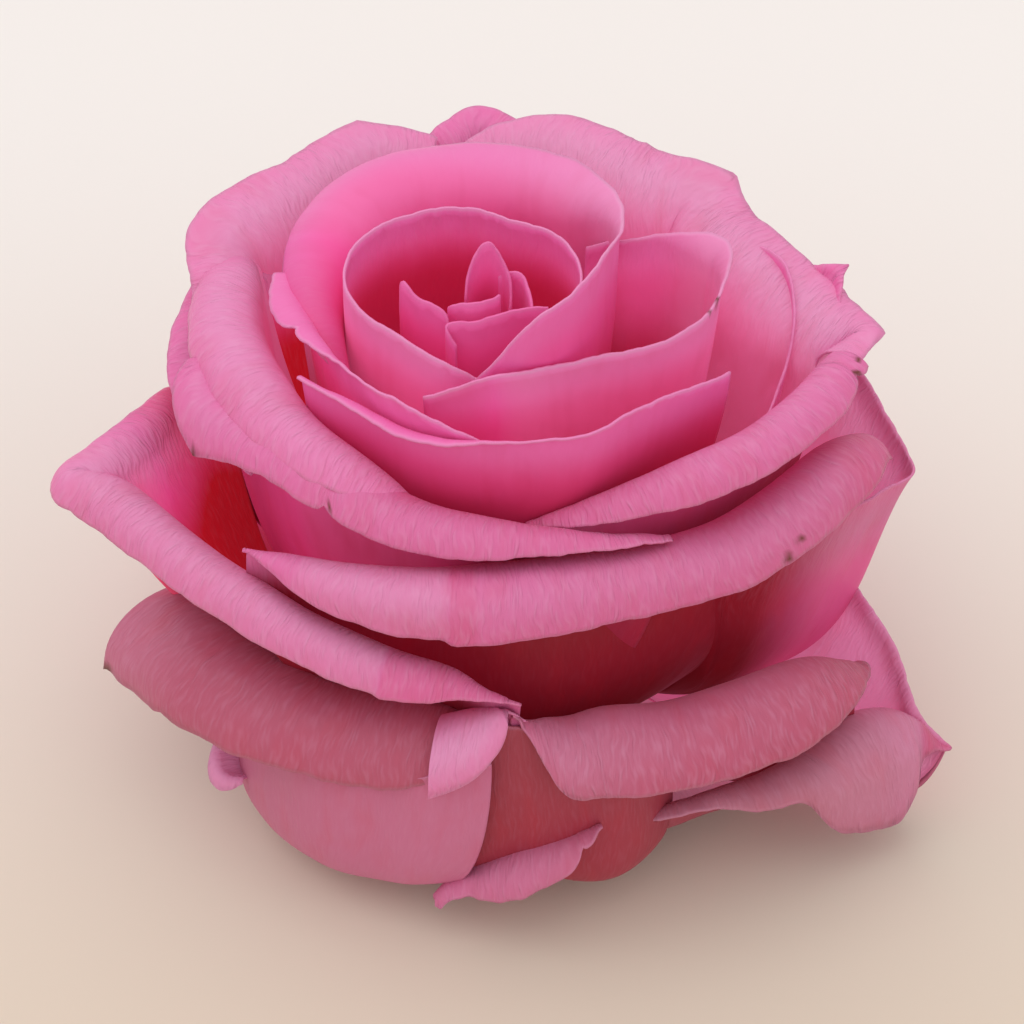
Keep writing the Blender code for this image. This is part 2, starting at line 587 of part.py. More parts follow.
def sepal_points(azimuth):
    """A narrow leaf that leaves the shoulder of the hip, bends back and reaches the table."""
    line = ((4.2, 9.4), (9.0, 10.0), (14.0, 7.0), (SEPAL_REACH, 0.5))
    turn = math.radians(azimuth)
    outwards = np.array([math.cos(turn), math.sin(turn), 0.0])
    sideways = np.array([-math.sin(turn), math.cos(turn), 0.0])
    rows = []
    for t in np.linspace(0.0, 1.0, 8):
        weights = ((1 - t) ** 3, 3 * t * (1 - t) ** 2, 3 * t**2 * (1 - t), t**3)
        radius = sum(weight * point[0] for weight, point in zip(weights, line))
        height = sum(weight * point[1] for weight, point in zip(weights, line))
        width = SEPAL_HALF_WIDTH * math.cos(1.35 * t) ** 0.8
        row = []
        for side in (-1.0, -0.5, 0.0, 0.5, 1.0):
            sag = 0.8 * (1.0 - side * side) * (1.0 - t)
            row.append(outwards * radius + sideways * width * side + (0.0, 0.0, height - sag))
        rows.append(row)
    return np.array(rows)


def stand_on_table(obj):
    """Flattens what dips below the table into small feet."""
    for vert in obj.data.vertices:
        vert.co.z = max(vert.co.z, 0.0)


def make_bloom():
    bloom = fuse(core(), [petal_blade(petal) for petal in ALL_PETALS])
    bloom.data.materials.clear()
    bloom.data.materials.append(material("petal_pink", (0.74, 0.14, 0.33), 0.55))
    return bloom


def make_calyx():
    blades = []
    for number in range(SEPALS):
        azimuth = SEPAL_FIRST_AZIMUTH + 360.0 / SEPALS * number
        blades.append(bent_blade(f"sepal_{number + 1}", sepal_points(azimuth), SEPAL_THICKNESS))
    calyx = fuse(hip(), blades)
    stand_on_table(calyx)
    calyx.data.materials.clear()
    calyx.data.materials.append(material("calyx_green", (0.17, 0.28, 0.07), 0.6))
    return calyx


def main():
    clear_scene()
    make_bloom()
    make_calyx()


main()
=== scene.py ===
"""Looks of an open pink rose bloom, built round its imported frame.

The bloom is made of whorls of petals, from the tight heart to the low outer petals, on a green
receptacle with five sepals. Each petal is a grid that is bent by its ribs, the lines that run
from the claw, where the petal grows, to its rim. Lengths are in millimetres up to the meshes,
which are in metres. The flower is seen from -Y.
"""

import logging
import math
from dataclasses import dataclass, field
from enum import Enum
from typing import NamedTuple

import bpy
import numpy as np
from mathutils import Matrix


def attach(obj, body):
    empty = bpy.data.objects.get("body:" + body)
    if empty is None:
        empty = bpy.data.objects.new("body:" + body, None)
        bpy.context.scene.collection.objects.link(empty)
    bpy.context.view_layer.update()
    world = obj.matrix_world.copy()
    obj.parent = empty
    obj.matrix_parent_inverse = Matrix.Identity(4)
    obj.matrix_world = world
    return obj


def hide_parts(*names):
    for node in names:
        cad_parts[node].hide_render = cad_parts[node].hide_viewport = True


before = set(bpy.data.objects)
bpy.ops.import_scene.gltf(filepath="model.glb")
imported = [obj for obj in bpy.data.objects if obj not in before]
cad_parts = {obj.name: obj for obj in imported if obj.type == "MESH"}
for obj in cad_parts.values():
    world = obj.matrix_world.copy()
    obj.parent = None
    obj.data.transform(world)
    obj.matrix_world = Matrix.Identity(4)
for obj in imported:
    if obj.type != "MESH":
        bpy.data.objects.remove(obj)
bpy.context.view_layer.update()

LOG = logging.getLogger("rose")
MM = 0.001
CLAW_HEIGHT = 13.4
PETAL_THICKNESS = 0.3

# A petal whose rim turns further than this from straight up, in degrees, counts as rolled.
ROLLED_END = 60.0
# How far below its crest a petal's painted glow is full, in mm. The glow is an emission of
# its own colour that stands in for light through the petal and for fill in shade.
PAINTED_GLOW_FALL = 5.0

Points = np.ndarray
Colour = tuple[float, float, float]
Place = tuple[float, float, float]
Bands = tuple[tuple[float, float], ...]

# The lengths of the waves of a petal's rim, in mm, and the share of each.
WAVES: Bands = ((34.0, 0.5), (19.0, 0.35), (11.0, 0.15))
RUFFLES: Bands = ((9.0, 0.5), (5.3, 0.3), (3.1, 0.2))
RAGS: Bands = ((13.0, 0.4), (5.7, 0.35), (2.9, 0.25))


class Side(Enum):
    """A face of a petal: the one towards the flower's axis, or the one away from it."""

    INNER = "inner"
    OUTER = "outer"


class Rib(NamedTuple):
    """One line of a petal from its claw to its rim.

    azimuth, radius and height place its highest point: degrees from +X towards +Y, then mm.
    roll is the radius of the curl at the rim and end the direction the rim finally points,
    in degrees from straight up: 0 stands up, 90 points outwards, 180 points down.
    drop is the straight length that hangs past the curl.
    """

    azimuth: float
    radius: float
    height: float
    roll: float = 1.0
    end: float = 5.0
    drop: float = 0.0


@dataclass(frozen=True)
class Petal:
    """A petal: its ribs in order, and how its belly runs from the claw to them.

    claw is the azimuth where it grows, lean its wall's slope outwards below the curl and
    launch its direction at the claw, both in degrees from straight up. low is the radius and
    height that pull the belly out, more at the ribs that reach further where low_power is
    above zero and less where it is below. tips lists (rib, length, width) of points on the rim.
    """

    name: str
    claw: float
    ribs: tuple[Rib, ...]
    lean: float = 0.0
    launch: float = 50.0
    low: tuple[float, ...] = ()
    low_power: float = 0.6
    claw_radius: float = 5.0
    upper: float = 0.45
    centre: tuple[float, float] = (0.0, 0.0)
    tips: tuple[tuple[float, float, float], ...] = ()

    @property
    def seed(self) -> int:
        """Starts the petal's own random draws, the same in each run."""
        return sum(ord(letter) * (k + 1) for k, letter in enumerate(self.name))

    @property
    def rolls_over(self) -> bool:
        """Whether its rim turns outwards somewhere."""
        return max(rib.end for rib in self.ribs) > ROLLED_END

    @property
    def turns_left(self) -> bool:
        """Whether its ribs run towards rising azimuths."""
        return self.ribs[-1].azimuth > self.ribs[0].azimuth


HEART = (-0.5, -2.5)

HEART_PETALS = (
    Petal(
        "heart_bud", claw=-110, launch=10, claw_radius=1, centre=HEART,
        ribs=(
            Rib(205, 5.2, 70.3), Rib(215, 4.4, 71), Rib(238, 3.2, 71.5), Rib(268, 2.4, 71.6),
            Rib(305, 1.9, 71.6),
        ),
    ),
    Petal(
        "heart_tip", claw=80, launch=10, claw_radius=1, centre=HEART,
        ribs=(
            Rib(185, 2.8, 70), Rib(150, 2.5, 73.5), Rib(118, 2.2, 75.6), Rib(85, 2.1, 76),
            Rib(50, 2.2, 74.3), Rib(10, 2.4, 72), Rib(-25, 2.5, 69),
        ),
    ),
    Petal(
        "heart_right", claw=10, launch=10, claw_radius=1, centre=HEART,
        ribs=(
            Rib(60, 1.9, 71.5), Rib(34, 2.6, 72.4), Rib(14, 3.8, 72.4), Rib(-8, 4.4, 71.8),
            Rib(-32, 5.6, 70.8),
        ),
    ),
    Petal(
        "heart_left", claw=200, launch=15, claw_radius=2, centre=HEART,
        ribs=(
            Rib(174, 10.3, 67), Rib(181, 9.9, 72.4), Rib(191, 8.5, 71.7), Rib(201, 7.2, 71.3),
            Rib(211, 6.3, 71), Rib(219, 6, 70), Rib(227, 6.5, 68),
        ),
    ),
    Petal(
        "heart_front", claw=-80, launch=15, claw_radius=2, centre=HEART,
        ribs=(
            Rib(238, 7, 68), Rib(226, 6.9, 69.7), Rib(230, 5.9, 70), Rib(243, 5, 70),
            Rib(262, 4.3, 70.4), Rib(285, 4.2, 70.9), Rib(306, 4.7, 71.2), Rib(322, 5.8, 71.4),
            Rib(333, 7.4, 71.2),
        ),
    ),
)

CUP_PETALS = (
    Petal(
        "cup_left", claw=150, launch=25, claw_radius=3,
        ribs=(
            Rib(-12, 10, 71.5), Rib(35, 9.2, 72), Rib(78, 8.3, 72.5), Rib(110, 10, 73),
            Rib(140, 12.6, 73), Rib(163, 15.7, 72.8), Rib(183, 17.1, 71.3), Rib(200, 15.5, 70),
            Rib(220, 13.8, 69.7), Rib(243, 13, 68.5), Rib(262, 12, 66),
        ),
    ),
    Petal(
        "cup_back", claw=60, lean=1, launch=25, claw_radius=3,
        ribs=(
            Rib(-100, 12.3, 66), Rib(-85, 13, 71), Rib(-70, 13.2, 75), Rib(-52, 12.6, 76),
            Rib(-30, 12, 76), Rib(-5, 12.4, 75.3, 1.2, 10), Rib(18, 15, 73, 2, 30),
            Rib(40, 19, 72, 3.5, 70), Rib(60, 20.5, 72, 5, 95), Rib(84, 20.5, 72, 5.5, 110),
            Rib(105, 21, 72, 6, 125), Rib(122, 22, 71.5, 6, 140), Rib(138, 22, 71, 6, 155),
            Rib(154, 21.4, 70, 5.3, 165), Rib(172, 20.9, 68, 3.7, 160),
            Rib(190, 20, 65.5, 2.5, 135), Rib(203, 18.8, 62, 1.7, 100), Rib(214, 17.8, 58, 1, 40),
        ),
    ),
    Petal(
        "pocket", claw=-20, lean=4, launch=40, claw_radius=4,
        ribs=(
            Rib(45, 15, 66), Rib(33, 18, 68, 1, 15), Rib(28, 22.3, 68.3, 2, 40),
            Rib(23, 26.6, 68.5, 3.5, 65), Rib(17, 28.6, 68.2, 3.5, 70), Rib(9, 27, 67, 2.5, 45),
            Rib(0, 24.8, 66, 1, 15), Rib(-10, 22, 66), Rib(-22, 18.5, 66.3), Rib(-38, 15.3, 67.2),
            Rib(-60, 13.8, 68), Rib(-85, 14.3, 69), Rib(-101, 15, 68), Rib(-118, 16.8, 66),
        ),
    ),
    Petal(
        "left_inner", claw=215, lean=6, launch=40, claw_radius=4,
        ribs=(
            Rib(168, 25.2, 66.8, 2.5, 110), Rib(184, 23.7, 67.3, 2.5, 130),
            Rib(199, 22, 67.3, 2, 110), Rib(216, 20.2, 67, 1, 60), Rib(236, 19.2, 66.5, 1, 20),
            Rib(251, 18.8, 65, 1, 10), Rib(268, 18.9, 62.5),
        ),
    ),
    Petal(
        "front_inner", claw=-85, lean=4, launch=38, claw_radius=4,
        ribs=(
            Rib(-152, 25, 66, 1, 90), Rib(-137, 22, 64.7, 1.2, 110),
            Rib(-120, 20.9, 63.6, 1.4, 120), Rib(-103, 20.4, 63.6, 1.3, 110),
            Rib(-87, 20.3, 64, 1, 80), Rib(-72, 20.9, 64.1, 1, 50), Rib(-57, 21.6, 64.1, 1, 30),
            Rib(-42, 22.3, 64.5, 1, 20), Rib(-26, 24.4, 63.4, 1, 10), Rib(-12, 27.4, 61.5),
        ),
    ),
    Petal(
        "right_inner", claw=5, lean=5, launch=50,
        ribs=(
            Rib(28, 34, 62, 1, 10), Rib(21, 36, 62.5, 1, 10), Rib(14.5, 36.2, 60.5, 1, 10),
            Rib(9, 35.4, 57.8, 1, 10), Rib(4, 34.2, 54.5, 1, 10), Rib(-3, 32.4, 52.3, 1, 10),
            Rib(-13, 30.5, 51.5, 1, 15), Rib(-24, 28, 50.5, 1, 20),
        ),
    ),
)

ROLLED_PETALS = (
    Petal(
        "left_roll", claw=195, lean=8, launch=55,
        ribs=(
            Rib(157, 32, 62.6, 1.5, 120), Rib(166, 31.6, 65.3, 3.4, 150),
            Rib(178, 31, 66.2, 4.3, 165), Rib(190, 30.2, 66, 4.5, 165),
            Rib(202, 28.8, 64.8, 4.5, 165), Rib(216, 26.6, 62, 4.2, 160),
            Rib(230, 24.3, 58.8, 3.5, 150), Rib(243, 22.8, 55, 2.5, 130),
        ),
    ),
    Petal(
        "front_left", claw=250, low=(22, 13), low_power=0, upper=0.5, tips=((1.3, 2.5, 0.35),),
        ribs=(
            Rib(190, 34, 63.8, 3, 120), Rib(198, 33.4, 62.8, 4.5, 160),
            Rib(211, 29.6, 60.8, 4, 160), Rib(229, 25.6, 58, 4, 165),
            Rib(250, 23.8, 55.5, 3.8, 170), Rib(271, 23.8, 54.3, 3, 165),
            Rib(291, 25.6, 53, 2, 150), Rib(312, 29.8, 51, 1, 120),
        ),
    ),
    Petal(
        "right_front", claw=-35, lean=5, launch=65,
        ribs=(
            Rib(-80, 20.5, 51, 1, 120), Rib(-68, 22.2, 53.5, 1.8, 150),
            Rib(-50, 25.8, 56.8, 2.8, 165), Rib(-36, 30, 59, 3.3, 170),
            Rib(-23, 34.3, 60.5, 3.5, 170), Rib(-11, 38.2, 61, 3.3, 165),
            Rib(-3.5, 40.8, 61.2, 2.6, 150),
        ),
    ),
    Petal(
        "right_back", claw=45, lean=10, launch=55, tips=((4.2, 1.8, 0.25), (8.0, 1.2, 0.25)),
        ribs=(
            Rib(97, 30.3, 66, 5, 90), Rib(84, 33.2, 67, 6, 100), Rib(70, 32.8, 67, 8, 105),
            Rib(57, 32.2, 66.3, 9, 105), Rib(44, 35.3, 65.4, 9, 100), Rib(33, 34.4, 63.7, 9, 105),
            Rib(21, 37.2, 61, 8.5, 110), Rib(12, 41.2, 58.8, 7, 108), Rib(7.5, 43.8, 57.2, 4, 108),
            Rib(2, 40.6, 57.4, 3.4, 125),
        ),
    ),
    Petal(
        "left_back", claw=140, lean=10, launch=55, tips=((1.0, 2, 0.3),),
        ribs=(
            Rib(103, 31.3, 66, 6, 95), Rib(117, 34.8, 67, 7, 100), Rib(130, 34.6, 66, 8, 105),
            Rib(141, 35.9, 65.5, 8, 105), Rib(150, 37.4, 65, 8, 108), Rib(158, 37, 64.5, 7, 108),
            Rib(167, 33.4, 63.5, 6, 118), Rib(177, 32.2, 62, 5, 130),
        ),
    ),
    Petal(
        "back_tip", claw=92, lean=15, launch=55,
        ribs=(
            Rib(108, 32, 64, 5, 90), Rib(100, 34.8, 65.5, 5, 95), Rib(93, 36.8, 66, 5, 95),
            Rib(84, 34, 65, 5, 95), Rib(75, 32, 63, 5, 90),
        ),
    ),
    Petal(
        "left_low", claw=180, lean=10, launch=60,
        ribs=(
            Rib(148, 33, 60, 5, 110), Rib(162, 34.5, 60.5, 5, 120), Rib(176, 35, 59, 5, 130),
            Rib(189, 34, 56, 4, 130), Rib(203, 30, 51, 3, 100),
        ),
    ),
)

OPEN_PETALS = (
    Petal(
        "right_tip", claw=15, lean=25, launch=60, tips=((2, 1.5, 0.2),),
        ribs=(
            Rib(27, 39, 57, 1, 60), Rib(21, 40.6, 59.8, 1, 70), Rib(17, 42.4, 61, 1, 75),
            Rib(12, 41.8, 58.5, 1, 70), Rib(5, 41, 54, 1, 60),
        ),
    ),
    Petal(
        "left_open", claw=225, lean=10, low=(27, 9), low_power=-0.3, upper=0.4,
        ribs=(
            Rib(172, 35, 50.5, 3, 100), Rib(180, 39, 53, 3, 110), Rib(188, 44, 52.5, 3.5, 130),
            Rib(192.5, 49.5, 51, 3.5, 165), Rib(197, 46.5, 50.3, 3.8, 170),
            Rib(206, 42, 48.3, 3.9, 175), Rib(219, 38, 45.8, 3.8, 175),
            Rib(232, 35.3, 43.2, 3.7, 175), Rib(245, 33.6, 40.8, 3.5, 172),
            Rib(254, 32.9, 39.9, 3.2, 170), Rib(261, 32.4, 39, 2.6, 165),
            Rib(268, 33, 37.4, 1.4, 150), Rib(275, 33.6, 35, 0.6, 90),
        ),
    ),
    Petal(
        "front_lip", claw=275, lean=-14, low=(26, 9), low_power=-0.9, tips=((10, 1.6, 0.35),),
        ribs=(
            Rib(218, 36, 50.5, 1, 140), Rib(229, 33.5, 50, 3.2, 170),
            Rib(244, 30.5, 49.8, 4.8, 180), Rib(259, 28.4, 50, 5.5, 183),
            Rib(277, 27.2, 49.8, 5.2, 183), Rib(295, 27.8, 49.8, 5, 180),
            Rib(311, 30.6, 50, 5, 180), Rib(324, 34.2, 50.6, 5.2, 175),
            Rib(336, 38.1, 52.4, 5, 175), Rib(345.5, 41.8, 53.6, 4.2, 165),
            Rib(350.2, 44, 52.6, 2.4, 140),
        ),
    ),
    Petal(
        "right_cup", claw=-20, lean=20, low=(43, 6), upper=0.4,
        ribs=(
            Rib(25, 40, 50, 3, 40), Rib(12, 43, 51, 3, 40), Rib(2, 46.3, 48, 3, 35),
            Rib(-4.5, 49.6, 44.5, 2, 30), Rib(-10, 47, 45.3, 1, 30), Rib(-18, 43.5, 47.3, 1, 25),
            Rib(-25, 40, 47.5, 1, 22), Rib(-30, 36.5, 46.5, 1, 22), Rib(-36, 29, 44, 1, 22),
        ),
    ),
    Petal(
        "right_lip", claw=-60, lean=-10, low=(36, 5), upper=0.5,
        ribs=(
            Rib(-86.6, 33.8, 33.4, 0.8, 60), Rib(-83, 33.8, 31.8, 2, 150),
            Rib(-80, 33.8, 30.8, 3.8, 170), Rib(-76.6, 33.9, 30, 5, 175, 1),
            Rib(-72, 34.1, 29.9, 5.4, 178, 0.6), Rib(-66, 35, 30.5, 6, 180),
            Rib(-53, 38, 30.6, 6.1, 180), Rib(-41, 41.8, 31.4, 5.8, 180),
            Rib(-33, 45, 31.6, 5, 170), Rib(-28.5, 47.4, 30, 3.6, 140),
            Rib(-25.5, 49.2, 28.2, 3, 95),
        ),
    ),
    Petal(
        "front_flap", claw=-90, lean=-12, low=(40, 1), upper=0.5,
        ribs=(
            Rib(-101.2, 34.3, 31.6, 4.8, 172, 2.4), Rib(-97.5, 34.3, 32.6, 4.8, 172, 1.8),
            Rib(-93.7, 34.3, 33.4, 4.6, 172, 0.8), Rib(-90.4, 34.2, 34, 3.6, 168),
            Rib(-88.4, 34, 34.4, 2, 150), Rib(-86.6, 33.6, 33.8, 0.8, 60),
            Rib(-82, 33, 31, 0.8, 20),
        ),
    ),
)

OUTER_PETALS = (
    Petal(
        "left_outer", claw=228, lean=-12, low=(32, 6), low_power=-0.4, upper=0.5,
        tips=((0, 1.5, 0.15),),
        ribs=(
            Rib(195, 41, 30.5, 8.5, 172, 0.5), Rib(204, 38.8, 31, 8.3, 175, 1.6),
            Rib(215, 37, 30.8, 7.7, 175, 0.8), Rib(231, 34.6, 30.5, 7, 175),
            Rib(244, 32.8, 30.5, 7, 175), Rib(254, 32, 30.5, 6.5, 172), Rib(262, 32.3, 30, 5, 165),
            Rib(267, 32.6, 29, 4, 150),
        ),
    ),
    Petal(
        "right_outer", claw=-25, lean=15, low=(38, 2), low_power=0.3, upper=0.4,
        ribs=(
            Rib(8, 40, 25, 2, 60), Rib(-7, 44.3, 26, 1.5, 55), Rib(-13, 48.8, 23.5, 1.5, 60),
            Rib(-17.5, 52.4, 19.5, 1.5, 70), Rib(-20, 55.2, 16.5, 1, 85),
            Rib(-21.3, 59, 14.2, 0.8, 100), Rib(-22, 55.6, 16.4, 2, 150, 1),
            Rib(-22.8, 53, 18, 4, 168, 4.2), Rib(-25, 50.4, 19, 4.8, 170, 8.3),
            Rib(-28.5, 48.3, 18.8, 4.8, 170, 8.6), Rib(-34.5, 46, 17.6, 4.2, 168, 5.4),
            Rib(-37.6, 44.6, 16.7, 3.4, 160, 0.6), Rib(-43, 42, 15.6, 2.6, 155, 0.5),
            Rib(-49, 39.5, 15, 2, 140), Rib(-60, 37, 14, 1.5, 120),
        ),
    ),
    Petal(
        "low_left", claw=235, lean=-9, low=(44, -6), low_power=1, upper=0.5,
        ribs=(
            Rib(206, 35, 19, 1, 40), Rib(215, 36.4, 21, 1, 40), Rib(227, 37.6, 23, 1, 30),
            Rib(240, 38.4, 25, 1, 20), Rib(251, 37.8, 25.5, 1, 20), Rib(260, 37.8, 27.5, 1, 20),
            Rib(269.5, 36.8, 29, 1, 20),
        ),
    ),
    Petal(
        "low_front", claw=-80, lean=-10, low=(47, -6), low_power=0.7, upper=0.5,
        ribs=(
            Rib(-106, 33, 25, 1, 20), Rib(-99, 33.4, 29.5, 1, 15), Rib(-92, 33.6, 32.2, 1, 5),
            Rib(-86, 33.7, 32.2, 1, 5), Rib(-79, 34.6, 30.5, 1, 15), Rib(-69, 35.8, 28, 1, 20),
            Rib(-61, 35.4, 26.5, 1, 20), Rib(-52, 33, 24, 1, 20),
        ),
    ),
    Petal(
        "front_low", claw=-80, lean=-4, low=(33, 5), upper=0.12, tips=((0.2, 1.3, 0.4),),
        ribs=(
            Rib(-101, 38.6, 6.6, 1, 140), Rib(-96, 37.4, 9.2, 2, 165),
            Rib(-89, 37.3, 11.7, 3.2, 175), Rib(-82, 38, 14, 3.2, 175),
            Rib(-76, 38.8, 16.2, 2.6, 160), Rib(-71, 39, 17.6, 1, 90),
        ),
    ),
)


@dataclass(frozen=True)
class PlainPetal:
    """A petal of the hidden back, the same on both sides of its middle azimuth.

    half_spread is how far it reaches to either side, in degrees. radius, height, roll and end are
    those of its middle rib. places are its ribs, from side to side, and the side values are how
    much less its outermost ribs have, as a share of the roll and otherwise in mm and degrees.
    """

    name: str
    middle: float
    half_spread: float
    radius: float
    height: float
    roll: float = 4.0
    end: float = 150.0
    places: tuple[float, ...] = (-1.0, -0.67, -0.33, 0.0, 0.33, 0.67, 1.0)
    side_radius: float = 3.5
    side_height: float = 6.0
    side_roll: float = 0.4
    side_end: float = 40.0
    belly: tuple[float, float] = (0.75, 0.16)

    def petal(self) -> Petal:
        """Works the ribs out.

        Returns:
            The petal.
        """
        ribs = []
        for place in self.places:
            side = place * place
            ribs.append(
                Rib(
                    self.middle + place * self.half_spread,
                    self.radius - self.side_radius * side,
                    self.height - self.side_height * side,
                    self.roll * (1.0 - self.side_roll * side),
                    self.end - self.side_end * side,
                )
            )
        low = (self.belly[0] * self.radius, self.belly[1] * self.height)
        return Petal(self.name, self.middle, tuple(ribs), lean=8, low=low, upper=0.4)


BACK_PETALS = tuple(
    plain.petal()
    for plain in (
        PlainPetal("back_shoulder", 88, 38, 38, 59),
        PlainPetal("back_open_right", 44, 38, 41.5, 52),
        PlainPetal("back_open_left", 134, 38, 40.5, 51),
        PlainPetal("back_middle", 92, 38, 44, 43),
        PlainPetal("right_side", 26, 32, 43, 37),
        PlainPetal("left_side", 160, 32, 40, 38),
        PlainPetal("back_low_right", 54, 38, 45, 29),
        PlainPetal("back_low_left", 138, 38, 44.5, 30),
        PlainPetal("back_low", 97, 38, 47, 20),
    )
)


class Crease(NamedTuple):
    """A step in a petal near its rim.

    place is counted in ribs, lift is in mm along the petal's outer side, width in ribs and
    reach is how far it runs in from the rim, in mm.
    """

    place: float
    lift: float
    width: float
    reach: float = 6.0


class Spot(NamedTuple):
    """A brown weathered mark: its place in ribs, its distance from the rim and its size, in mm."""

    place: float
    from_rim: float
    size: float


class Nick(NamedTuple):
    """A notch in the rim: its place and width in ribs, and its depth in mm."""

    place: float
    depth: float
    width: float


class Patch(NamedTuple):
    """A stretch of a face, between two places in ribs, that is lighter or, below zero, deeper:
    painted light and painted shade where they fall, and in places the petal's own tone.
    """

    first: float
    last: float
    pale: float
    soft: float = 0.05
    side: Side = Side.INNER


class Fade(NamedTuple):
    """How one face of a petal darkens away from its crest, as painted shade.

    The deep colour starts and is full so far below the crest, in mm, and strength is its share
    there. pale makes the whole face lighter above zero and deeper below it, partly painted light
    and shade and partly the face's own tone. glow is the share of its colour that the face emits,
    a painted glow that stands in for light through the thin petal and for fill in shade.
    """

    start: float
    full: float
    strength: float = 1.0
    pale: float = 0.0
    painted_glow: float = 0.0


@dataclass(frozen=True)
class WearAndPaintedLight:
    """What the weather and growth did to one petal, on top of its plain shape, and the light and
    shade painted on it.

    age is how dusty its skin is at its first rib and at its last one, where 0 is fresh and 1 is
    dusty. ragged is how uneven its rim is, in mm. patches are partly painted light and shade.
    inner and outer replace its whorl's fades, the painted shade and glow of its faces.
    """

    wave: float = 0.35
    ruffle: float = 0.25
    age: tuple[float, float] = (0.0, 0.0)
    creases: tuple[Crease, ...] = ()
    spots: tuple[Spot, ...] = ()
    nicks: tuple[Nick, ...] = ()
    patches: tuple[Patch, ...] = ()
    ragged: float = 0.25
    inner: Fade | None = None
    outer: Fade | None = None


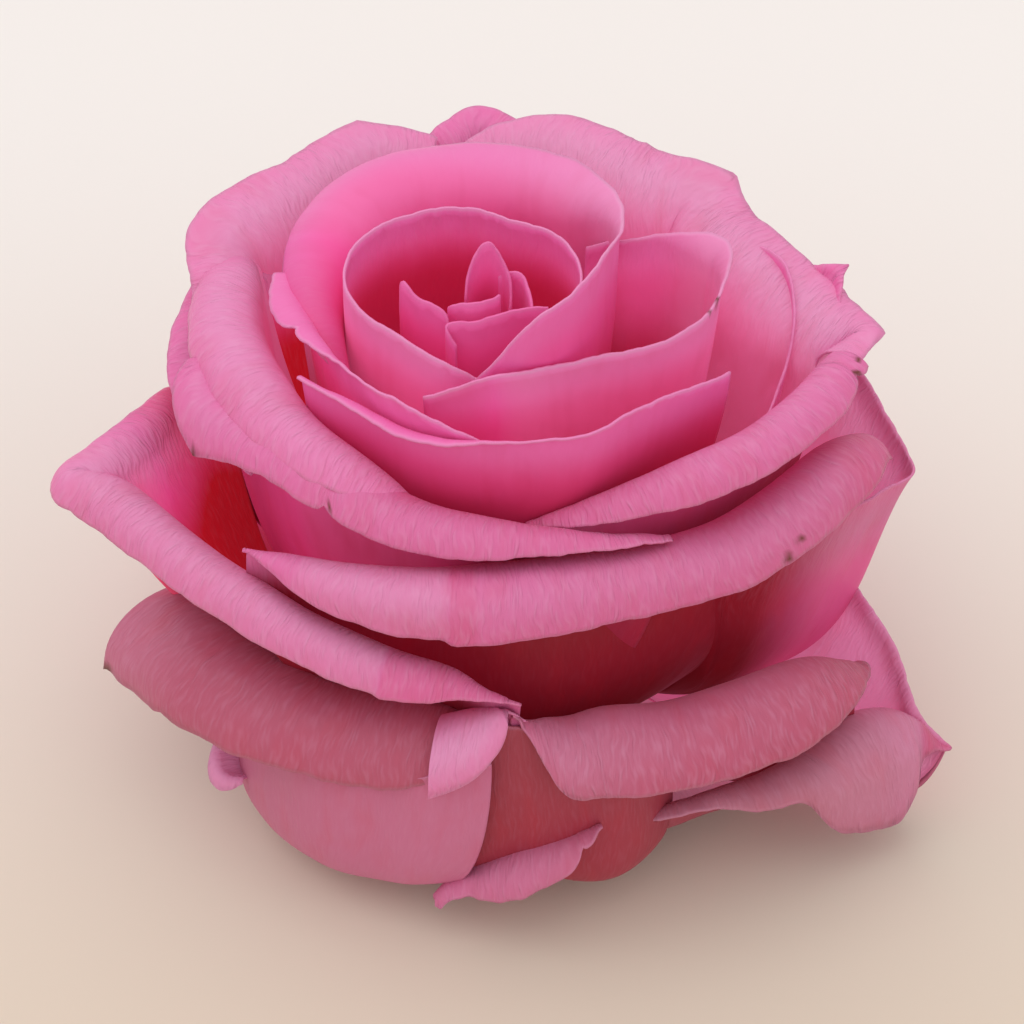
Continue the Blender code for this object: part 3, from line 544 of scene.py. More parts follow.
# Each petal's wear, and its painted light and shade: the patches and the inner and outer fades.
WEAR_AND_PAINTED_LIGHT: dict[str, WearAndPaintedLight] = {
    "cup_left": WearAndPaintedLight(
        0.2, 0.1, inner=Fade(1, 10, 0.9, 0.0, 0.18), outer=Fade(10, 34, 0.7, 0.2, 0.14),
    ),
    "cup_back": WearAndPaintedLight(
        0.25, 0.12, patches=(Patch(4.0, 8.0, 0.3, 2.0), Patch(13.6, 19.0, -0.5, 1.2)),
        inner=Fade(7, 24, 0.8, 0.16, 0.0),
    ),
    "pocket": WearAndPaintedLight(
        0.15, 0.1, spots=(Spot(5.7, 0.3, 0.7), Spot(6.1, 0.2, 0.4)),
        patches=(Patch(2.5, 6.4, 0.3, 1.0), Patch(11.4, 15.0, -0.5, 0.9, Side.OUTER)),
        inner=Fade(7, 20, 1.0, 0.1, 0.14), outer=Fade(8, 30, 0.55, 0.2, 0.1),
    ),
    "left_inner": WearAndPaintedLight(
        0.2, 0.2, nicks=(Nick(1.6, 1.0, 0.12),), inner=Fade(3, 16, 0.7, 0.1, 0.1),
        outer=Fade(3, 16, 0.8, 0.0, 0.1),
    ),
    "front_inner": WearAndPaintedLight(0.15, 0.1, inner=Fade(3, 14, 0.8, 0.05, 0.1), outer=Fade(0, 12, 0.7)),
    "right_inner": WearAndPaintedLight(0.15, 0.05, inner=Fade(5, 24, 0.8, 0.15, 0.12)),
    "left_roll": WearAndPaintedLight(0.3, 0.2, inner=Fade(10, 24, 0.9, 0.2, 0.16)),
    "left_low": WearAndPaintedLight(inner=Fade(3, 12, 1.0, 0.0, 0.35)),
    "left_side": WearAndPaintedLight(inner=Fade(6, 24, 1.0, 0.0, 0.35)),
    "left_back": WearAndPaintedLight(0.35, 0.25, inner=Fade(11, 26, 0.8, 0.3, 0.2)),
    "right_back": WearAndPaintedLight(0.3, 0.25, inner=Fade(12, 30, 0.9, 0.4, 0.1)),
    "right_front": WearAndPaintedLight(
        0.3, 0.2, (0.3, 0.1), spots=(Spot(5.6, 0.4, 0.7), Spot(5.9, 1.6, 0.6)),
        nicks=(Nick(5.55, 1.3, 0.12),), outer=Fade(5, 20, 1.0, 0.0, 0.1),
    ),
    "front_left": WearAndPaintedLight(
        0.3, 0.25, (0.05, 0.25), spots=(Spot(1.3, 0.2, 0.6), Spot(3.0, 0.5, 0.4)),
        nicks=(Nick(2.95, 1.2, 0.06), Nick(2.2, 0.4, 0.1)),
        patches=(Patch(4.5, 9.0, -1.0, 0.8, Side.OUTER), Patch(-1.0, 1.5, -0.6, 0.8, Side.OUTER)),
        outer=Fade(26, 50, 0.7, 0.1, 0.06),
    ),
    "left_open": WearAndPaintedLight(
        0.3, 0.2, (0.0, 0.25), creases=(Crease(8.3, 0.7, 0.05, 7.0),), nicks=(Nick(3.6, 0.8, 0.1),),
        patches=(Patch(8.3, 13.0, -0.4), Patch(-2.0, 1.5, -1.0, 1.0)),
        inner=Fade(8, 20, 1.0, 0.25, 0.28), outer=Fade(0.5, 8),
    ),
    "front_lip": WearAndPaintedLight(
        0.3, 0.2, (0.05, 0.45), (Crease(3.05, 1.2, 0.06, 8.0), Crease(8.6, 0.6, 0.2)),
        (Spot(7.4, 1.0, 0.8), Spot(7.6, 2.2, 0.5), Spot(7.1, 2.6, 0.4)),
        patches=(Patch(1.0, 3.05, 0.2), Patch(3.05, 3.4, -0.15), Patch(8.6, 11.0, -0.12, 0.4)),
        inner=Fade(4, 14), outer=Fade(0.5, 7),
    ),
    "right_cup": WearAndPaintedLight(
        0.25, 0.15, (0.2, 0.3), patches=(Patch(5.6, 12.0, -1.0, 1.5, Side.OUTER),),
        inner=Fade(12, 34, 0.8, 0.25, 0.35), outer=Fade(40, 70, 0.5),
    ),
    "right_lip": WearAndPaintedLight(
        0.3, 0.25, (0.65, 0.85), nicks=(Nick(10.0, 1.0, 0.2),),
        patches=(Patch(0.0, 5.0, 0.15, 1.5),), inner=Fade(6, 22, 1.0, 0.0, 0.1),
    ),
    "front_flap": WearAndPaintedLight(0.2, 0.05, (0.0, 0.3), ragged=0.05, inner=Fade(20, 50, 0.6, 0.35)),
    "left_outer": WearAndPaintedLight(
        0.4, 0.3, (0.8, 0.9), spots=(Spot(0.1, 0.3, 1.4),), nicks=(Nick(1.5, 0.8, 0.12),),
        patches=(Patch(-1.0, 1.2, 0.15, 0.8),),
    ),
    "right_outer": WearAndPaintedLight(
        0.4, 0.3, (-0.1, 1.4), patches=(Patch(4.6, 6.2, -0.5, 0.3),),
        inner=Fade(12, 40, 0.4, 0.3, 0.3), outer=Fade(14, 40, 0.4, -0.3),
    ),
    "left_scrap": WearAndPaintedLight(0.3, 0.3, patches=(Patch(-1.0, 5.0, 0.5),)),
    "low_left": WearAndPaintedLight(0.3, 0.2, (0.75, 0.6), outer=Fade(60, 90, 0.5, 0.12)),
    "low_front": WearAndPaintedLight(0.3, 0.2, (1.0, 1.0), outer=Fade(0, 26, 0.4, -0.4)),
    "front_low": WearAndPaintedLight(
        0.5, 0.4, (0.4, 0.7), nicks=(Nick(4.2, 1.2, 0.15),), inner=Fade(20, 40, 0.5, 0.1),
    ),
}

SCRAPS = (
    Petal(
        "left_scrap", claw=214, lean=60, low=(25, 7), upper=0.2,
        ribs=(
            Rib(209, 37.8, 14, 0.8, 115), Rib(212, 39.6, 13, 0.8, 130, 0.6),
            Rib(215, 40.2, 11.6, 0.8, 150, 1.6), Rib(218, 38.6, 11.4, 0.8, 130, 0.4),
        ),
    ),
)

PLAIN_WEAR = WearAndPaintedLight()
UPRIGHT_WEAR = WearAndPaintedLight(wave=0.15, ruffle=0.1)


def natural_spline(values: Points, places: Points) -> Points:
    """A natural cubic spline through values at 0, 1, 2 and so on.

    Args:
        values: The values it passes through.
        places: Where it is read, from 0 to one less than the number of values.

    Returns:
        Its values at the places.
    """
    count = len(values)
    rows = np.zeros((count, count))
    bends = np.zeros(count)
    rows[0, 0] = rows[-1, -1] = 1.0
    for i in range(1, count - 1):
        rows[i, i - 1 : i + 2] = (1.0, 4.0, 1.0)
        bends[i] = 6.0 * (values[i - 1] - 2.0 * values[i] + values[i + 1])
    bends = np.linalg.solve(rows, bends)
    i = np.clip(np.floor(places).astype(int), 0, count - 2)
    after = places - i
    before = 1.0 - after
    straight = before * values[i] + after * values[i + 1]
    return straight + ((before**3 - before) * bends[i] + (after**3 - after) * bends[i + 1]) / 6.0


def unit(vectors: Points) -> Points:
    """The vectors at length one."""
    return vectors / np.maximum(np.linalg.norm(vectors, axis=-1, keepdims=True), 1e-9)


def bezier(controls: tuple[Points, ...], shares: Points) -> Points:
    """A cubic Bezier curve through four controls.

    Args:
        controls: Four arrays, or numbers, of the same kind.
        shares: Column of places on the curve, from 0 to 1.

    Returns:
        One row of values for each place.
    """
    t = shares
    weights = ((1 - t) ** 3, 3 * t * (1 - t) ** 2, 3 * t**2 * (1 - t), t**3)
    return sum(weight * control for weight, control in zip(weights, controls))


def smoothstep(values: Points, low: float, high: float) -> Points:
    """0 below low, 1 above high, with a soft passage between."""
    t = np.clip((values - low) / (high - low), 0.0, 1.0)
    return t * t * (3.0 - 2.0 * t)


def select_nothing() -> None:
    """Deselects every object."""
    bpy.ops.object.select_all(action="DESELECT")


def apply_modifier(piece: bpy.types.Object, kind: str, **settings: object) -> None:
    """Adds a modifier to the piece and applies it.

    Args:
        piece: The object, which becomes the active one.
        kind: The modifier's type.
        **settings: Its properties.
    """
    select_nothing()
    piece.select_set(True)
    bpy.context.view_layer.objects.active = piece
    modifier = piece.modifiers.new(kind.lower(), kind)
    for name, value in settings.items():
        setattr(modifier, name, value)
    bpy.ops.object.modifier_apply(modifier=modifier.name)


def bent_grid(name: str, points: Points) -> tuple[bpy.types.Object, Points, Points]:
    """A grid primitive laid on rows of points.

    Args:
        name: The new object's name.
        points: (rows, columns, 3) in mm.

    Returns:
        The object, at the origin, and each of its vertices' row and column.
    """
    rows, columns, _ = points.shape
    select_nothing()
    cells = {"x_subdivisions": columns - 1, "y_subdivisions": rows - 1}
    bpy.ops.mesh.primitive_grid_add(size=2.0, **cells)
    piece = bpy.context.object
    piece.name = name
    piece.data.name = name
    flat = np.empty(len(piece.data.vertices) * 3, np.float32)
    piece.data.vertices.foreach_get("co", flat)
    flat = flat.reshape(-1, 3)
    column = np.round((flat[:, 0] + 1.0) / 2.0 * (columns - 1)).astype(int)
    row = np.round((flat[:, 1] + 1.0) / 2.0 * (rows - 1)).astype(int)
    shaped = (points[row, column] * MM).astype(np.float32)
    piece.data.vertices.foreach_set("co", shaped.ravel())
    piece.data.update()
    return piece, row, column


def shade_smooth(piece: bpy.types.Object) -> None:
    """Gives the piece smooth shading.

    Args:
        piece: The object, which becomes the only one selected.
    """
    select_nothing()
    piece.select_set(True)
    bpy.ops.object.shade_smooth()


def write_attribute(piece: bpy.types.Object, name: str, values: Points) -> None:
    """Stores a vector for each vertex of a thickened grid.

    Args:
        piece: The object, whose vertices are the grid's on one face and then on the other.
        name: The attribute's name.
        values: (vertices, 3).
    """
    layer = piece.data.attributes.new(name, "FLOAT_VECTOR", "POINT")
    layer.data.foreach_set("vector", values.astype(np.float32).ravel())


@dataclass
class PetalShape:
    """The surface of one petal, worked out from its ribs.

    curl spreads the rows closer where the petal bends, in mm of length for a radian. rim_pull
    draws the run of the rim towards a circle round the axis. The belly's fan at the claw, the
    length of its launch and its turn towards the rim are shares. waves fade out between calm and
    full, in mm from the rim, and ruffles over ruffle_reach. slants are how much the two of them
    lean. Above shift_height over the claw, a petal has all of its centre's shift.
    """

    petal: Petal
    wear_and_painted_light: WearAndPaintedLight
    fine_rows: int = 60
    curl: float = 6.0
    rim_pull: float = 0.35
    claw_fan: float = 0.3
    launch_share: float = 0.45
    turn_share: float = 0.55
    least_roll: float = 0.3
    least_turn: float = 0.02
    least_radius: float = 0.5
    shift_height: float = 40.0
    calm: float = 45.0
    full: float = 5.0
    ruffle_reach: float = 3.0
    slants: tuple[float, float] = (0.6, 0.8)
    random: np.random.Generator = field(init=False)

    def __post_init__(self) -> None:
        """Starts the petal's own random draws."""
        self.random = np.random.default_rng(self.petal.seed)

    def rim_directions(self, azimuth: Points, top: Points, lean: float) -> tuple[Points, Points]:
        """Up the wall and away from it at each rib, square to the run of the rim.

        Args:
            azimuth: Each rib's azimuth, in radians.
            top: Each rib's highest point.
            lean: The wall's slope, in radians from straight up.

        Returns:
            The two unit vectors for each rib.
        """
        zero = np.zeros_like(azimuth)
        outwards = np.stack([np.cos(azimuth), np.sin(azimuth), zero], 1)
        around = np.stack([-np.sin(azimuth), np.cos(azimuth), zero], 1)
        run = unit(np.gradient(top, axis=0)) * (1.0, 1.0, 0.0)
        run = unit(run + self.rim_pull * np.sign((run * around).sum()) * around)
        away = np.stack([run[:, 1], -run[:, 0], zero], 1)
        if (away * outwards).sum() < 0.0:
            away = -away
        up = np.array([0.0, 0.0, 1.0])
        rise = math.sin(lean) * away + math.cos(lean) * up
        return rise, math.cos(lean) * away - math.sin(lean) * up

    def belly(self, azimuth: Points, start: Points, rise: Points, rows: int) -> Points:
        """The belly, a curve in azimuth, radius and height from the claw to each rib's start.

        Args:
            azimuth: Each rib's azimuth, in radians.
            start: Where each rib's curl starts.
            rise: The way up the wall at each start.
            rows: How many rows of points it has.

        Returns:
            (rows, ribs, 3) points.
        """
        petal = self.petal
        outwards = np.stack([np.cos(azimuth), np.sin(azimuth), np.zeros_like(azimuth)], 1)
        to_start = (start[:, 0] + 1j * start[:, 1]) * np.exp(-1j * azimuth)
        start_azimuth = azimuth + np.angle(to_start)
        radius = np.hypot(start[:, 0], start[:, 1])
        height = start[:, 2]
        middle = (azimuth.max() + azimuth.min()) / 2.0
        claw = math.radians(petal.claw)
        claw += 2.0 * math.pi * round((middle - claw) / (2.0 * math.pi))
        claw = claw + self.claw_fan * (azimuth - middle)
        chord = np.hypot(radius - petal.claw_radius, height - CLAW_HEIGHT)
        launch = math.radians(petal.launch)
        low_radius = petal.claw_radius + self.launch_share * chord * math.sin(launch)
        low_height = CLAW_HEIGHT + self.launch_share * chord * math.cos(launch)
        if petal.low:
            low_radius = petal.low[0] * (radius / radius.mean()) ** petal.low_power
            low_height = np.full(len(azimuth), float(petal.low[1]))
        wall = petal.upper * chord
        claw_radius = np.full(len(azimuth), petal.claw_radius)
        claw_height = np.full(len(azimuth), CLAW_HEIGHT)
        high_radius = radius - wall * (rise * outwards).sum(1)
        high_height = height - wall * rise[:, 2]
        low_azimuth = claw + self.turn_share * (start_azimuth - claw)
        shares = np.linspace(0.0, 1.0, rows + 1)[:-1, None]
        turned = bezier((claw, low_azimuth, start_azimuth, start_azimuth), shares)
        out = bezier((claw_radius, low_radius, high_radius, radius), shares)
        out = np.maximum(out, self.least_radius)
        up = bezier((claw_height, low_height, high_height, height), shares)
        return np.stack([out * np.cos(turned), out * np.sin(turned), up], 2)

    def plain_surface(self, places: Points, belly_rows: int, roll_rows: int) -> Points:
        """The petal's middle surface without its worn waves, ruffles, creases and ragged rim.

        Args:
            places: Where the columns lie, counted in ribs.
            belly_rows: Rows of points below the curl.
            roll_rows: Rows of cells on the curl.

        Returns:
            (rows, columns, 3) points from claw to rim, in mm.
        """
        petal = self.petal
        ribs = np.array(petal.ribs, float)
        azimuth, radius, height, roll, end, drop = (
            natural_spline(column, places) for column in ribs.T
        )
        roll = np.maximum(roll, self.least_roll)
        drop = np.maximum(drop, 0.0)
        for place, length, width in petal.tips:
            drop = drop + length * np.exp(-np.abs(places - place) / width)
        azimuth = np.radians(azimuth)
        lean = math.radians(petal.lean)
        turn = np.maximum(np.radians(end) - lean, self.least_turn)
        top = np.stack([radius * np.cos(azimuth), radius * np.sin(azimuth), height], 1)
        rise, away = self.rim_directions(azimuth, top, lean)
        to_top = np.minimum(turn, math.pi / 2.0 - lean)
        start = top - roll[:, None] * (
            rise * np.sin(to_top)[:, None] + away * (1.0 - np.cos(to_top))[:, None]
        )
        arc = roll * turn
        run = np.linspace(0.0, 1.0, roll_rows + 1)[:, None] * (arc + drop)
        angle = np.minimum(run, arc) / roll
        final = rise * np.cos(turn)[:, None] + away * np.sin(turn)[:, None]
        curl = rise * np.sin(angle)[..., None] + away * (1.0 - np.cos(angle))[..., None]
        rolled = start + roll[:, None] * curl + np.maximum(run - arc, 0.0)[..., None] * final
        points = np.concatenate([self.belly(azimuth, start, rise, belly_rows), rolled])
        share = np.clip((points[..., 2] - CLAW_HEIGHT) / self.shift_height, 0.0, 1.0)
        points[..., 0] += petal.centre[0] * share
        points[..., 1] += petal.centre[1] * share
        return points

    def evened(self, points: Points, rows: int, cut: Points) -> Points:
        """The surface with its rows spread evenly by length, and closer where it curls.

        Args:
            points: (rows, columns, 3) points from claw to rim, in mm.
            rows: How many rows are wanted.
            cut: How much of each column is cut off at the rim, in mm.

        Returns:
            (rows, columns, 3) points of the same surface.
        """
        steps = np.diff(points, axis=0)
        length = np.linalg.norm(steps, axis=2)
        cosine = (unit(steps[1:]) * unit(steps[:-1])).sum(axis=2)
        bend = np.zeros_like(length)
        bend[1:] = np.arccos(np.clip(cosine, -1.0, 1.0))
        zero = np.zeros((1, points.shape[1]))
        along = np.concatenate([zero, np.cumsum(length + self.curl * bend, axis=0)])
        length = np.concatenate([zero, np.cumsum(length, axis=0)])
        wanted = np.linspace(0.0, 1.0, rows)
        columns = []
        for k in range(points.shape[1]):
            last = np.interp(length[-1, k] - cut[k], length[:, k], along[:, k])
            axes = points[:, k].T
            columns.append([np.interp(wanted * last, along[:, k], axis) for axis in axes])
        return np.array(columns).transpose(2, 0, 1)

    def rim_cut(self, run: Points, places: Points) -> Points:
        """How much the ragged rim falls short of its smooth line.

        Args:
            run: How far along the rim each column lies, in mm.
            places: Each column's place in ribs.

        Returns:
            The cut at each column, in mm.
        """
        cut = np.zeros_like(run)
        for length, share in RAGS:
            wave = np.sin(run * 2.0 * math.pi / length + self.random.uniform(0.0, 2.0 * math.pi))
            cut += self.wear_and_painted_light.ragged * share * (1.0 - np.abs(wave))
        for nick in self.wear_and_painted_light.nicks:
            cut += nick.depth * np.exp(-np.abs((places - nick.place) / nick.width))
        return cut

    def normals(self, points: Points) -> Points:
        """The surface's normals.

        Args:
            points: (rows, columns, 3) points from claw to rim.

        Returns:
            Unit vectors on the side that faces away from the flower's axis.
        """
        across = np.gradient(points, axis=1)
        along = np.gradient(points, axis=0)
        normal = unit(np.cross(across, along))
        middle = points.shape[0] // 4
        outwards = points[middle] * (1.0, 1.0, 0.0)
        if (normal[middle] * outwards).sum() < 0.0:
            normal = -normal
        return normal

    def from_rim(self, points: Points) -> Points:
        """How far each point lies from the rim.

        Args:
            points: (rows, columns, 3) points from claw to rim, in mm.

        Returns:
            The length along each point's column, in mm.
        """
        steps = np.linalg.norm(np.diff(points, axis=0), axis=2)
        length = np.concatenate([np.zeros((1, points.shape[1])), np.cumsum(steps, axis=0)])
        return length[-1] - length

    def across(self, points: Points) -> Points:
        """How far across the petal each column lies.

        Args:
            points: (rows, columns, 3) points from claw to rim, in mm.

        Returns:
            The length along one of the wider rows, in mm.
        """
        row = points[points.shape[0] * 3 // 4]
        steps = np.linalg.norm(np.diff(row, axis=0), axis=1)
        return np.concatenate([[0.0], np.cumsum(steps)])

    def ripples(
        self, run: Points, from_rim: Points, bands: Bands, slant: float, height: Points
    ) -> Points:
        """One kind of wave over the petal, at its own random places.

        Args:
            run: How far along the rim each column lies, in mm.
            from_rim: How far each point lies from the rim, in mm.
            bands: The lengths of the waves and their shares.
            slant: How much they lean at most.
            height: How high they are at each point.

        Returns:
            The lift of each point, in mm.
        """
        lift = np.zeros_like(from_rim)
        for length, share in bands:
            phase = self.random.uniform(0.0, 2.0 * math.pi)
            lean = self.random.uniform(-slant, slant)
            wave = np.sin((run[None, :] + lean * from_rim) * 2.0 * math.pi / length + phase)
            lift += share * wave * height
        return lift

    def waves(self, run: Points, from_rim: Points) -> Points:
        """Soft undulations of the whole petal and small ruffles near its rim.

        Args:
            run: How far along the rim each column lies, in mm.
            from_rim: How far each point lies from the rim, in mm.

        Returns:
            The lift of each point, in mm.
        """
        wave_slant, ruffle_slant = self.slants
        height = self.wear_and_painted_light.wave * smoothstep(from_rim, self.calm, self.full)
        lift = self.ripples(run, from_rim, WAVES, wave_slant, height)
        height = self.wear_and_painted_light.ruffle * np.exp(-from_rim / self.ruffle_reach)
        return lift + self.ripples(run, from_rim, RUFFLES, ruffle_slant, height)

    def worn_surface(self, columns: int, rows: int) -> tuple[Points, Points]:
        """The petal's middle surface with waves and creases.

        Args:
            columns: Columns of points.
            rows: Rows of points.

        Returns:
            The (rows, columns, 3) points in mm, and each column's place in ribs.
        """
        places = np.linspace(0.0, len(self.petal.ribs) - 1.0, columns)
        plain = self.plain_surface(places, self.fine_rows, self.fine_rows)
        points = self.evened(plain, rows, self.rim_cut(self.across(plain), places))
        from_rim = self.from_rim(points)
        lift = self.waves(self.across(points), from_rim)
        for crease in self.wear_and_painted_light.creases:
            step = 0.5 - 0.5 * np.tanh((places[None, :] - crease.place) / crease.width)
            lift = lift + crease.lift * step * smoothstep(from_rim, crease.reach, 0.0)
        return points + lift[..., None] * self.normals(points), places

    def patches(self, places: Points, side: Side) -> Points:
        """How much its patches, partly painted light and shade, change each column of a face.

        Args:
            places: Each column's place in ribs.
            side: The face.

        Returns:
            How much paler each column is, or deeper below zero.
        """
        pale = np.zeros_like(places)
        for patch in self.wear_and_painted_light.patches:
            if patch.side is side:
                rise = smoothstep(places, patch.first - patch.soft, patch.first + patch.soft)
                fall = smoothstep(places, patch.last - patch.soft, patch.last + patch.soft)
                pale += patch.pale * (rise - fall)
        return pale

    def spots(self, places: Points, from_rim: Points) -> Points:
        """Where the weathered marks lie.

        Args:
            places: Each column's place in ribs.
            from_rim: How far each point lies from the rim, in mm.

        Returns:
            How brown each point is, from 0 to 1.
        """
        brown = np.zeros_like(from_rim)
        ribs = np.array([(rib.azimuth, rib.radius) for rib in self.petal.ribs])
        steps = np.hypot(np.diff(ribs[:, 1]), np.radians(np.diff(ribs[:, 0])) * ribs[:-1, 1])
        for spot in self.wear_and_painted_light.spots:
            scale = steps[min(int(spot.place), len(steps) - 1)]
            gap = np.hypot((places[None, :] - spot.place) * scale, from_rim - spot.from_rim)
            brown = np.maximum(brown, 1.0 - smoothstep(gap, 0.35 * spot.size, spot.size))
        return brown

    def tones(
        self, points: Points, places: Points, side: Side, fade: Fade
    ) -> tuple[Points, Points, Points]:
        """What the petal's finish reads on one of its faces, its painted shade and glow included.

        Args:
            points: (rows, columns, 3) points of the worn surface, in mm.
            places: Each column's place in ribs.
            side: The face.
            fade: How that face darkens as painted shade, and how it glows.

        Returns:
            The vectors petal_run, petal_tone and petal_glow at each point.
        """
        from_rim = self.from_rim(points)
        grid = from_rim.shape
        run = np.broadcast_to(self.across(points), grid)
        age = np.broadcast_to(np.linspace(*self.wear_and_painted_light.age, grid[1]), grid)
        height = points[..., 2]
        fall = height.max(axis=0) - height
        past_top = np.arange(grid[0])[:, None] > height.argmax(axis=0)
        # Painted shade: the deep colour's share, by how far each point lies below its crest.
        depth = np.where(past_top, 0.0, smoothstep(fall, fade.start, fade.full)) * fade.strength
        # Lighter or deeper: partly painted light and shade, partly the face's own tone.
        pale = np.broadcast_to(fade.pale + self.patches(places, side), grid)
        # Painted glow, full a little below the crest.
        painted_glow = np.where(past_top, 0.0, smoothstep(fall, 0.0, PAINTED_GLOW_FALL)) * fade.painted_glow
        outside = np.full(grid, float(side is Side.OUTER))
        run_age = np.stack([run, from_rim, age], 2)
        tone = np.stack([pale, depth, self.spots(places, from_rim)], 2)
        return run_age, tone, np.stack([painted_glow, outside, outside], 2)


class Signal:
    """A shader socket whose operators add Math nodes."""

    def __init__(self, graph: "Graph", socket: bpy.types.NodeSocket) -> None:
        """Wraps a socket of the graph."""
        self.graph = graph
        self.socket = socket

    def maths(self, operation: str, *values: object) -> "Signal":
        """The result of one Math node.

        Args:
            operation: The node's operation.
            *values: Its values or signals, in order.

        Returns:
            The result.
        """
        inputs = dict(enumerate(values))
        return self.graph.node("ShaderNodeMath", {"operation": operation}, inputs)

    def __add__(self, other: object) -> "Signal":
        """Sum."""
        return self.maths("ADD", self, other)

    def __sub__(self, other: object) -> "Signal":
        """Difference."""
        return self.maths("SUBTRACT", self, other)

    def __rsub__(self, other: object) -> "Signal":
        """Difference, the other way round."""
        return self.maths("SUBTRACT", other, self)

    def __mul__(self, other: object) -> "Signal":
        """Product."""
        return self.maths("MULTIPLY", self, other)

    __radd__ = __add__
    __rmul__ = __mul__

    def smooth(self, low: float, high: float) -> "Signal":
        """A soft step.

        Args:
            low: Up to where it is 0.
            high: From where it is 1.

        Returns:
            The step.
        """
        settings = {"interpolation_type": "SMOOTHSTEP"}
        inputs = {"Value": self, "From Min": low, "From Max": high}
        return self.graph.node("ShaderNodeMapRange", settings, inputs)


class Graph:
    """The node tree of one new material."""

    def __init__(self, name: str) -> None:
        """Makes the material with its shader.

        Args:
            name: The material's name.
        """
        self.material = bpy.data.materials.new(name)
        self.material.use_nodes = True
        self.tree = self.material.node_tree
        self.shader = self.tree.nodes["Principled BSDF"]

    def connect(self, socket: bpy.types.NodeSocket, value: object) -> None:
        """Links a signal to a socket, or sets the socket's value.

        Args:
            socket: The input socket.
            value: The signal or the value.
        """
        if isinstance(value, Signal):
            self.tree.links.new(value.socket, socket)
        else:
            socket.default_value = value

    def node(
        self,
        kind: str,
        settings: dict[str, object],
        inputs: dict[object, object],
        output: object = 0,
    ) -> Signal:
        """Adds any node.

        Args:
            kind: The node's type.
            settings: Its properties, which are set first.
            inputs: Values or signals for its input sockets, by name or number.
            output: Which output is wanted, by name or number.

        Returns:
            That output.
        """
        node = self.tree.nodes.new(kind)
        for name, value in settings.items():
            setattr(node, name, value)
        for name, value in inputs.items():
            self.connect(node.inputs[name], value)
        return Signal(self, node.outputs[output])

    def attribute(self, name: str) -> tuple[Signal, Signal, Signal]:
        """A vector stored on the piece's vertices.

        Args:
            name: The attribute's name.

        Returns:
            Its three parts.
        """
        vector = self.node("ShaderNodeAttribute", {"attribute_name": name}, {}, "Vector")
        split = self.node("ShaderNodeSeparateXYZ", {}, {0: vector})
        outputs = split.socket.node.outputs
        return tuple(Signal(self, outputs[k]) for k in range(3))

    def point(self, x: object, y: object, z: object) -> Signal:
        """A vector of three values."""
        return self.node("ShaderNodeCombineXYZ", {}, {0: x, 1: y, 2: z})

    def place(self) -> Signal:
        """The place on the piece, in metres."""
        return self.node("ShaderNodeTexCoord", {}, {}, "Object")

    def noise(self, where: Signal, detail: float, scale: float = 1.0) -> Signal:
        """Noise from 0 to 1 at a place."""
        inputs = {"Vector": where, "Scale": scale, "Detail": detail}
        return self.node("ShaderNodeTexNoise", {}, inputs, "Fac")

    def grain(
        self, across: Signal, along: Signal, fineness: tuple[float, float], layer: float,
        detail: float,
    ) -> Signal:
        """Noise from -0.5 to 0.5 that follows a petal.

        Args:
            across: The place across the petal, in mm.
            along: The place along it, in mm.
            fineness: How fine the noise is across and along, for each mm.
            layer: Which slice of the noise is read.
            detail: The noise's detail.

        Returns:
            The noise.
        """
        where = self.point(across * fineness[0], along * fineness[1], layer)
        return self.noise(where, detail) - 0.5

    def mix(self, share: object, first: object, second: object) -> Signal:
        """A colour between two colours."""
        inputs = {0: share, 6: first, 7: second}
        return self.node("ShaderNodeMix", {"data_type": "RGBA"}, inputs, 2)

    def dress(self, colour: object, roughness: object, height: Signal, depth: float) -> None:
        """Links what varies over the surface to the shader.

        Args:
            colour: Base colour.
            roughness: Roughness.
            height: Height of the surface's fine relief.
            depth: How deep that relief is, in metres.
        """
        self.connect(self.shader.inputs["Base Color"], colour)
        self.connect(self.shader.inputs["Roughness"], roughness)
        relief = {"Height": height, "Distance": depth, "Strength": 1.0}
        self.connect(self.shader.inputs["Normal"], self.node("ShaderNodeBump", {}, relief))

    def set_constants(self, constants: dict[str, object]) -> None:
        """Sets the shader's own sockets for what is the same all over."""
        for name, value in constants.items():
            self.shader.inputs[name].default_value = value


def rgba(colour: Colour) -> tuple[float, float, float, float]:
    """The colour with full alpha."""
    return (*colour, 1.0)


